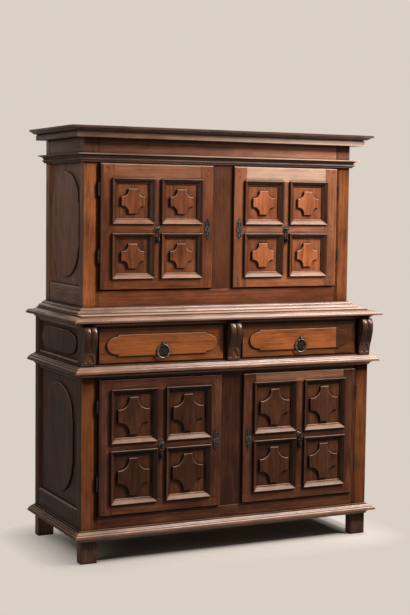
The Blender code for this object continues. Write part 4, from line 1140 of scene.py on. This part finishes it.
def doors():
    for level in (LOWER, UPPER):
        for label, side in SIDES:
            door = Door(level, label, side)
            for step in (door_joinery, door_panels, hinge_iron, pull_mount, drop_pull, escutcheon, lock_bolt):
                step(door)


# Front frames
MORTISE_DEPTH = 0.0115
MORTISE_CLEARANCE = 0.001
PEG_SPREAD = 0.02


def mortised_stile(level):
    """The stile between two doors, with a pocket in each side for their bolts."""
    part = block((-level.centre_half, level.front, level.rail_top + JOINT),
                 (level.centre_half, level.front + FRAME_THICKNESS, level.head_z - JOINT))
    lo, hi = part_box(f"{level.name}_left_lock_bolt")
    near = lo.y - MORTISE_CLEARANCE
    far = hi.y + MORTISE_CLEARANCE
    low = lo.z - MORTISE_CLEARANCE
    high = hi.z + MORTISE_CLEARANCE
    cuts = [((0, y, 0), (0, 1, 0)) for y in (near, far)] + [((0, 0, z), (0, 0, 1)) for z in (low, high)]
    split_block(part, cuts)
    mouths = []
    for face in part.faces:
        middle = face.calc_center_median()
        if abs(face.normal.x) > FLAT and near < middle.y < far and low < middle.z < high:
            mouths.append(face)
    for face in bmesh.ops.extrude_discrete_faces(part, faces=mouths)["faces"]:
        bmesh.ops.translate(part, verts=face.verts, vec=-MORTISE_DEPTH * face.normal)
    return mark_bevels(outward(part))


def front_board(level, low, high):
    """A rail across the front, between the posts."""
    end = level.half - level.post - GAP
    return block((-end, level.front, low), (end, level.front + FRAME_THICKNESS, high))


def frieze_board():
    """The rail over the upper doors, cut so that its painted light can change along it and a painted shadow
    can lie along its top.
    """
    end = UPPER.half - UPPER.post - GAP
    cuts = [((end * (2 * i / FRIEZE_STRETCHES - 1), 0, 0), (1, 0, 0)) for i in range(1, FRIEZE_STRETCHES)]
    cuts.append(((0, 0, UPPER.top - FRIEZE_PAINTED_SHADOW), (0, 0, 1)))
    return split_block(front_board(UPPER, UPPER.head_z, UPPER.top), cuts)


def frame_pegs(shape, level):
    places = [(s * PEG_SPREAD, level.front, z) for s in (-1, 1) for z in level.peg_heights]
    pegs(shape, places, (0, -1, 0))


def upper_front():
    shape = new_shape()
    pour(shape, front_board(UPPER, UPPER.foot, UPPER.rail_top), "x", 0.95)
    # The frieze with its painted shadow and painted light
    pour(shape, frieze_board(), "x", 1.0, 0.1, frieze_shade, frieze_pale)
    pour(shape, mortised_stile(UPPER), "z", 0.33, 1.0)
    frame_pegs(shape, UPPER)
    show("upper_front_rails", shape, "walnut", "upper_body", ["upper_front_frame"])


def lower_front():
    shape = new_shape()
    rails = ((LOWER.foot, LOWER.rail_top, 1.35), (LOWER.head_z, DECK_TOP, 0.9), (WAIST_RAIL_Z, LOWER.top, 0.9))
    for low, high, tone in rails:
        pour(shape, front_board(LOWER, low, high), "x", tone)
    pour(shape, mortised_stile(LOWER), "z", 0.52)
    board(shape, (-DIVIDER_HALF, LOWER.front, DECK_TOP + JOINT),
          (DIVIDER_HALF, LOWER.front + FRAME_THICKNESS, WAIST_RAIL_Z - JOINT), "z", 0.8)
    frame_pegs(shape, LOWER)
    show("lower_front_rails", shape, "walnut_dark", "lower_body", ["lower_front_frame"])


# Side frames
SLOPE_WIDTH = 0.022
# Width and tone of the painted shade at a front post's inner edge, beside the door
SHADED_STRIP = 0.018
STRIP_PAINTED_SHADE = 0.50
INSIDE_TONE = 0.60
FOOT_TONE = 1.4
FRIEZE_FOOT = ARCHITRAVE_Z + 0.018
# Tones of the posts' faces beside the frieze: the right one painted lighter, like the frieze's painted light
FRIEZE_POST_TONES = {-1: 1.05, 1: 1.70}
POST_TONES = {"lower_left": 0.72, "lower_right": 0.66, "upper_left": 1.10, "upper_right": 0.72}
# Tones of the sides: the upper left one is painted much lighter, to make up for the little lamp light that
# falls on it
SIDE_TONES = {"lower_left": 0.48, "lower_right": 0.45, "upper_left": 1.85, "upper_right": 0.60}
LEDGER_HEIGHT = 0.022
SIDE_SUNK = 0.012
SIDE_PANEL = 0.010
SIDE_TONGUE = 0.004
PEG_RISE = 0.014
PEGGED_RAIL = 0.05


class Side:
    """Planes, rails and tones of one side of a body."""
    def __init__(self, level, label, side):
        self.level = level
        self.side = side
        self.name = f"{level.name}_{label}"
        self.tone = SIDE_TONES[self.name]
        self.outer = side * level.half
        self.inner = side * (level.half - level.post)
        self.web = side * (level.half - SIDE_THICKNESS)
        self.strip = self.inner + side * SHADED_STRIP
        self.near = level.front + POST_DEPTH
        self.far = BACK_Y - POST_DEPTH
        edges = [level.foot, *(z for opening in level.openings for z in opening), level.top]
        self.rails = list(zip(edges[::2], edges[1::2]))

    def outside(self, share):
        """Shade of a board: a share of the side's tone outside, a plain tone inside."""
        return lambda face: self.tone * share if face.normal.x * self.side > 0.5 else INSIDE_TONE

    def post_shade(self, face):
        middle = face.calc_center_median()
        if face.normal.y > -0.6:
            return self.outside(0.9)(face)
        # Beside the frieze the post takes tones painted lighter on the right
        if middle.z > FRIEZE_FOOT:
            return FRIEZE_POST_TONES[self.side]
        # A strip at the post's inner edge is darker: painted shade beside the door
        return POST_TONES[self.name] * (STRIP_PAINTED_SHADE if (middle.x - self.strip) * self.side < 0 else 1.0)


def post_warm(face):
    if face.calc_center_median().z > FRIEZE_FOOT:
        return 0.2
    return 0.9 if face.normal.y < -0.6 else 0.0


def sloped_strip(edge, foot, start, end):
    """A strip that slopes from a post's edge down to the panel; edge and foot are (x, y)."""
    corners = (edge, (foot[0], edge[1]), foot)
    return loft([[(x, y, z) for x, y in corners] for z in (start, end)])


def side_posts(shape, s):
    """The front post with a strip of painted shade at its inner edge beside the door, the back post and,
    below, both feet.
    """
    level = s.level
    post = block((s.outer, level.front, level.foot), (s.inner, s.near, level.top), POST_EDGE)
    split_block(post, [((s.strip, 0, 0), (1, 0, 0)), ((0, 0, FRIEZE_FOOT), (0, 0, 1))])
    pour(shape, post, "z", 1.0, post_warm, s.post_shade)
    back_post = block((s.outer, s.far, level.foot), (s.inner, BACK_Y, level.top), POST_EDGE)
    pour(shape, back_post, "z", 1.0, 0.0, s.outside(1.0))
    if level is LOWER:
        for start, end in ((level.front, s.near), (s.far, BACK_Y)):
            board(shape, (s.outer, start, 0.0), (s.inner, end, level.foot), "z", FOOT_TONE, 0.0, FOOT_EDGE)


def side_rails(shape, s):
    for low, high in s.rails:
        rail = block((s.outer, s.near + JOINT, low), (s.web, s.far - JOINT, high), RAIL_EDGE)
        pour(shape, rail, "y", 1.0, 0.0, s.outside(s.level.rail_share))
    ledger = s.level.ledger
    board(shape, (s.web - s.side * 0.003, s.near, ledger - LEDGER_HEIGHT), (s.inner, s.far, ledger), "y", 0.9)


def side_outline(across, along, margins):
    """An upright field with round ends, or a lying one where no margins are given."""
    if margins:
        return round_ended_field(across - margins[0], along - margins[1], 0.200, 0.010)
    return quarter_turned(round_ended_field(along - 0.016, across - 0.032, 0.280, 0.005))


def side_panels(shape, s):
    """In each opening a flat panel, a slope at its back edge and a raised field."""
    ground = s.outer - s.side * SIDE_SUNK
    for (start, end), margins in zip(s.level.openings, s.level.side_margins):
        panel = block((ground, s.near - SIDE_TONGUE, start - SIDE_TONGUE),
                      (ground - s.side * SIDE_PANEL, s.far + SIDE_TONGUE, end + SIDE_TONGUE))
        pour(shape, panel, "z", 1.0, 0.08, s.outside(0.9))
        strip = sloped_strip((s.outer, s.far), (ground, s.far - SLOPE_WIDTH), start, end)
        pour(shape, strip, "z", s.tone, 0.45)
        outline = side_outline((s.far - s.near) / 2, (end - start) / 2, margins)
        middle = (ground - s.side * FIELD_SEAT, (s.near + s.far) / 2, (start + end) / 2)
        field = prism(outline, 0.010, Matrix.Translation(middle) @ facing_side(s.side), 0.003)
        pour(shape, field, "z", s.tone * 1.1, 0.12)


def side_pegs(shape, s):
    depths = (s.level.front + POST_DEPTH / 2, BACK_Y - POST_DEPTH / 2)
    middles = [(low + high) / 2 for low, high in s.rails if high - low > PEGGED_RAIL]
    places = [(s.outer, y, z + rise) for z in middles for y in depths for rise in (-PEG_RISE, PEG_RISE)]
    pegs(shape, places, (s.side, 0, 0))


def side_frames():
    for level in (LOWER, UPPER):
        for label, side in SIDES:
            s = Side(level, label, side)
            shape = new_shape()
            for step in (side_posts, side_rails, side_panels, side_pegs):
                step(shape, s)
            show(f"{s.name}_side_joinery", shape, "walnut_side", level.body, [f"{s.name}_side_frame"])


# Scroll consoles
CONSOLE_BASE = 0.014
CONSOLE_FACETS = 64
CONSOLE_STATIONS = 44
CHEEK_STATIONS = 24
CHEEK_THICKNESS = 0.0006


def console_line(share, neck=0.014, bulge=0.047, crest=0.80):
    """Reach of a console's middle line at a share of its height."""
    if share < crest:
        return neck + (bulge - neck) * smooth_step(share / crest)
    fall = (share - crest) / (1 - crest)
    return bulge - (bulge - neck) * 0.45 * fall * fall


def leaf_relief(u, share):
    """Height of the carved leaf at the foot of a console."""
    away = hypot(u, share / 0.32)
    arch = 0.0034 * exp(-((away - 0.78) / 0.13) ** 2)
    bud = 0.0040 * exp(-(away / 0.34) ** 2)
    return arch + bud


def console_reach(u, share):
    """Reach at u across from -1 to 1: two lobes above, flutes in the middle and a leaf below."""
    lobe = 0.0065 * smooth_step((share - 0.25) / 0.5)
    round_part = sqrt(max(0.0, 1 - (2 * abs(u) - 1) ** 2))
    fluted = smooth_step((share - 0.22) / 0.1) * (1 - smooth_step((share - 0.62) / 0.2))
    flute = 0.0014 * cos(8 * pi * u) * fluted
    return console_line(share) - lobe * (1 - round_part) + flute + leaf_relief(u, share)


def console_body(x, half, seat, start, top):
    rings = []
    for i in range(CONSOLE_STATIONS + 1):
        share = i / CONSOLE_STATIONS
        z = start + (top - start) * share
        ring = [(x + half, seat, z), (x - half, seat, z)]
        for k in range(CONSOLE_FACETS + 1):
            u = -1 + 2 * k / CONSOLE_FACETS
            ring.append((x + u * half, seat - console_reach(u, share), z))
        rings.append(ring)
    return loft(rings)


def console_cheek(x, half, side, seat, start, top):
    """A thin smoother skin on one side of a console."""
    edge = [(seat, start), (seat, top)]
    for i in range(CHEEK_STATIONS + 1):
        share = 1 - i / CHEEK_STATIONS
        edge.append((seat - console_reach(side, share), start + (top - start) * share))
    return loft([[(x + side * (half + out), y, z) for y, z in edge] for out in (0.0, CHEEK_THICKNESS)])


def console(node):
    lo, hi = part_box(node)
    x = (lo.x + hi.x) / 2
    half = (hi.x - lo.x) / 2
    seat = LOWER.front - GAP
    start = lo.z + CONSOLE_BASE
    shape = new_shape()
    board(shape, (x - half, seat, lo.z), (x + half, seat - 0.015, start), "x", edge=0.002)
    pour(shape, console_body(x, half, seat, start, hi.z), "z", 0.9)
    show(f"{node}_carved", shape, "walnut_dark", "lower_body", [node], 50, "waxed_carving")
    cheeks = new_shape()
    for _, side in SIDES:
        pour(cheeks, console_cheek(x, half, side, seat, start, hi.z), "z", 0.7)
    show(f"{node}_cheeks", cheeks, "walnut_dark", "lower_body", (), 50, "walnut_side")


# Drawers
MENDED_FROM = 0.540
MENDED_TONE = 0.42
MENDED_SHADE = 0.20
DRAWER_FACE = LOWER.front - 0.006
DRAWER_BACK = DRAWER_FACE + 0.024
DRAWER_WALL = 0.012
DRAWER_FIELD_TONES = {-1: 0.84, 1: 0.98}
FIELD_END = 0.034
FIELD_EDGE = 0.028
FIELD_ROUND = 0.052
FIELD_STEP = 0.008
RING_SEAT = DRAWER_FACE - 0.007
STAPLE_DROP = 0.0745
PLATE_SUNK = 0.0004


def drawer_field(lo, hi, split):
    """The raised field of a drawer front, cut where a mended end starts."""
    half = (hi.x - lo.x) / 2 - FIELD_END
    upright = round_ended_field(DRAWER_HEIGHT / 2 - FIELD_EDGE, half, 2 * (half - FIELD_ROUND), FIELD_STEP)
    place = at_front((lo.x + hi.x) / 2, DRAWER_FACE + FIELD_SEAT, DRAWER_Z + DRAWER_HEIGHT / 2)
    field = prism(quarter_turned(upright), 0.009, place)
    slice_faces(field, (split, 0, 0), (1, 0, 0))
    for face in field.faces:
        face.tag = 0.05 < abs(face.normal.y) < FLAT and face.calc_center_median().x < split
    return field


def drawer_front(label, side):
    """A front with a raised field; the right-hand one has a darker, mended end."""
    lo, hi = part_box(f"{label}_drawer_front")
    top = DRAWER_Z + DRAWER_HEIGHT
    split = MENDED_FROM if side > 0 else hi.x
    shape = new_shape()
    board(shape, (lo.x, DRAWER_FACE, DRAWER_Z), (split, DRAWER_BACK, top), "x", 0.76, 0.1)
    if side > 0:
        board(shape, (split, DRAWER_FACE, DRAWER_Z), (hi.x, DRAWER_BACK, top), "x", MENDED_TONE)
    pour(shape, drawer_field(lo, hi, split), "x", DRAWER_FIELD_TONES[side], 0.8,
         lambda face: MENDED_SHADE if face.calc_center_median().x > split else 1.0)
    show(f"{label}_drawer_fielded", shape, "walnut_orange", f"{label}_drawer", [f"{label}_drawer_front"])
    return (lo.x + hi.x) / 2


def drawer_ring(label, x):
    """A staple with its rosette, a dark disc inside the ring, and the ring."""
    lo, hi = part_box(f"{label}_drawer_ring")
    centre = (lo + hi) / 2
    z = DRAWER_Z + DRAWER_HEIGHT - STAPLE_DROP
    mount = new_shape()
    pour(mount, petal_disc(0.013, 0.0035, 6, at_front(x, RING_SEAT + PLATE_SUNK, z)))
    pour(mount, ring_wire(circle(Vector((x, RING_SEAT, z)), 0.0100, "x", 28), 0.0020, 10))
    # A dark iron disc where the ring hangs
    dark_disc = at_front(x, RING_SEAT + PLATE_SUNK, centre.z + 0.001)
    pour(mount, petal_disc(0.0222, 0.0018, 8, dark_disc), tone=0.4)
    show(f"{label}_ring_staple", mount, "iron", f"{label}_drawer")
    ring = new_shape()
    wire = ring_wire(circle(centre, 0.0285, "y", 56), lambda t: 0.0027 - 0.0003 * sin(2 * pi * t), 12)
    pour(ring, wire, tone=2.2)
    show(f"{label}_iron_ring", ring, "iron", f"{label}_ring", [f"{label}_drawer_ring"], 50)


def drawer_box(label):
    lo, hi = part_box(f"{label}_drawer_box")
    floor = lo.z + DRAWER_WALL
    shape = new_shape()
    board(shape, lo, (hi.x, hi.y, floor), "y", 0.9)
    for a, b in ((lo.x, lo.x + DRAWER_WALL), (hi.x - DRAWER_WALL, hi.x)):
        board(shape, (a, lo.y, floor), (b, hi.y, hi.z), "y", 1.05)
    for a, b in ((lo.y, lo.y + DRAWER_WALL), (hi.y - DRAWER_WALL, hi.y)):
        board(shape, (lo.x + DRAWER_WALL, a, floor), (hi.x - DRAWER_WALL, b, hi.z), "x")
    show(f"{label}_drawer_tray", shape, "inner_wood", f"{label}_drawer", [f"{label}_drawer_box"])


def drawers():
    for label, side in SIDES:
        drawer_ring(label, drawer_front(label, side))
        drawer_box(label)


# Boards inside and behind
def planked(node, along, count, body):
    """Planks side by side in the space of a CAD board."""
    lo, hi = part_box(node)
    shape = new_shape()
    axis = 1 if along == "x" else 0
    inner = [(i + DRAW.uniform(-0.12, 0.12)) / count for i in range(1, count)]
    edges = [0.0, *inner, 1.0]
    for a, b in zip(edges, edges[1:]):
        start = lo.copy()
        end = hi.copy()
        start[axis] = lo[axis] + (hi[axis] - lo[axis]) * a + JOINT
        end[axis] = lo[axis] + (hi[axis] - lo[axis]) * b - JOINT
        board(shape, start, end, along, DRAW.uniform(*PLANK_TONES))
    show(f"{node}_planks", shape, "inner_wood", body, [node])


def notched_planks(node, level, top):
    """Planks in the space of a CAD board that is notched round the four posts."""
    lo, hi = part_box(node)
    low = top - BOARD_THICKNESS
    near = lo.y + POST_DEPTH - FRAME_THICKNESS
    far = BACK_Y - POST_DEPTH - GAP
    short = level.half - level.post - GAP
    long = level.half - SIDE_THICKNESS - GAP
    middle = near + (far - near) * DRAW.uniform(0.42, 0.58)
    shape = new_shape()
    spans = ((short, lo.y, near), (long, near, middle), (long, middle, far), (short, far, hi.y))
    for reach, start, end in spans:
        board(shape, (-reach, start + JOINT, low), (reach, end - JOINT, top), "x", DRAW.uniform(*PLANK_TONES))
    if hi.z > top + GAP:
        board(shape, (-DIVIDER_HALF, lo.y + DOOR_GAP, top), (DIVIDER_HALF, hi.y - DOOR_GAP, hi.z), "y")
    show(f"{node}_planks", shape, "inner_wood", level.body, [node])


def inner_boards():
    planked("lower_back_panel", "z", 6, "lower_body")
    planked("upper_back_panel", "z", 5, "upper_body")
    planked("lower_shelf", "x", 2, "lower_body")
    planked("upper_shelf", "x", 2, "upper_body")
    notched_planks("lower_floor_board", LOWER, LOWER.rail_top)
    notched_planks("drawer_deck", LOWER, DECK_TOP)
    notched_planks("upper_roof_board", UPPER, UPPER.top)


# Floor, light and camera
BACKGROUND = (0.701, 0.631, 0.565)
FLOOR_COLOUR = (0.525, 0.473, 0.424)
FLOOR_RADIUS = 2.6
FLOOR_FADE = ((0.0, 0.0), (0.09, 0.40), (0.30, 1.0))
FLOOR_CORE = (LOWER.half - 0.10, BACK_Y - 0.08, 0.0)
LAMP_COLOUR = (1.0, 0.98, 0.96)
WARM_COLOUR = (1.0, 0.97, 0.94)
WORLD_STRENGTH = 0.065
CAMERA_PLACE = Vector((-2.7796, -5.6411, 1.5724))
CAMERA_YAW = radians(26.203)
CAMERA_PITCH = radians(4.443)
CAMERA_ROLL = radians(0.7095)
CAMERA_LENS = 78.55
SENSOR_WIDTH = 36.0


def floor_material():
    """A pale floor that fades into the background away from the piece."""
    made, n, shader = new_material("pale_floor")
    place = n.new("TexCoord").outputs["Object"]
    cloud = n.noise(place, grey(1.6), 4.0)
    tint = n.ramp(cloud, ((0.3, scaled(FLOOR_COLOUR, 0.97)), (0.7, FLOOR_COLOUR)))
    n.fill(shader, Base_Color=tint, Roughness=0.9, Specular_IOR_Level=0.1)
    away = place
    steps = (("ABSOLUTE", BLACK), ("SUBTRACT", FLOOR_CORE), ("MAXIMUM", BLACK), ("LENGTH", BLACK))
    for operation, value in steps:
        away = n.vector_maths(operation, away, value)
    fade = n.ramp(away, [(reach, grey(share)) for reach, share in FLOOR_FADE])
    n.blend("Material Output", fade, shader, n.new("BsdfTransparent"))
    return made


def stage():
    part = bmesh.new()
    bmesh.ops.create_circle(part, cap_ends=True, segments=64, radius=FLOOR_RADIUS)
    mesh = bpy.data.meshes.new("floor")
    part.to_mesh(mesh)
    part.free()
    mesh.materials.append(floor_material())
    floor = bpy.data.objects.new("floor", mesh)
    bpy.context.scene.collection.objects.link(floor)


def softbox(name, place, target, size, power, colour=LAMP_COLOUR):
    data = bpy.data.lights.new(name, "AREA")
    data.shape = "RECTANGLE"
    data.size, data.size_y = size
    data.energy = power
    data.color = colour
    lamp = bpy.data.objects.new(name, data)
    lamp.location = place
    lamp.rotation_euler = (Vector(target) - Vector(place)).to_track_quat("-Z", "Y").to_euler()
    bpy.context.scene.collection.objects.link(lamp)


def world():
    """Dim even light, and the pale background for rays that see it."""
    made = bpy.data.worlds.new("studio")
    bpy.context.scene.world = made
    n = Nodes(made)
    soft = n.tree.nodes["Background"]
    n.fill(soft, Color=WARM_COLOUR, Strength=WORLD_STRENGTH)
    seen = n.new("Background")
    n.fill(seen, Color=BACKGROUND, Strength=1.0)
    path = n.new("LightPath").outputs
    looked_at = n.plus(path["Is Camera Ray"], path["Is Glossy Ray"])
    looked_at = n.plus(looked_at, path["Is Transmission Ray"], True)
    n.blend("World Output", looked_at, soft, seen)


def lights():
    softbox("top", (1.95, -0.24, 4.2), (0.0, -0.3, 1.0), (1.4, 1.0), 128.0)
    softbox("front_top", (1.4, -1.5, 3.2), (0.0, -0.3, 1.0), (0.7, 0.6), 85.0)
    softbox("key", (2.9, -2.35, 3.25), (0.0, -0.2, 1.2), (0.5, 0.5), 178.0, WARM_COLOUR)
    softbox("fill", (-4.4, -1.6, 2.0), (0.0, 0.0, 1.0), (1.6, 1.6), 40.0)
    softbox("back", (-0.4, 3.8, 2.6), (0.0, 0.3, 1.0), (2.0, 2.0), 40.0)
    world()


def camera():
    level = cos(CAMERA_PITCH)
    forward = Vector((sin(CAMERA_YAW) * level, cos(CAMERA_YAW) * level, -sin(CAMERA_PITCH)))
    right = Vector((cos(CAMERA_YAW), -sin(CAMERA_YAW), 0.0))
    up = right.cross(forward)
    across = cos(CAMERA_ROLL) * right + sin(CAMERA_ROLL) * up
    above = cos(CAMERA_ROLL) * up - sin(CAMERA_ROLL) * right
    data = bpy.data.cameras.new("camera")
    data.lens = CAMERA_LENS
    data.sensor_width = SENSOR_WIDTH
    data.sensor_fit = "AUTO"
    made = bpy.data.objects.new("camera", data)
    turn = Matrix((across, above, -forward)).transposed().to_4x4()
    made.matrix_world = Matrix.Translation(CAMERA_PLACE) @ turn
    bpy.context.scene.collection.objects.link(made)
    bpy.context.scene.camera = made


camera()
stage()
lights()
bpy.context.scene.view_settings.view_transform = "Standard"
mouldings()
upper_front()
lower_front()
side_frames()
doors()
for corbel in ("left_corbel", "centre_corbel", "right_corbel"):
    console(corbel)
drawers()
inner_boards()
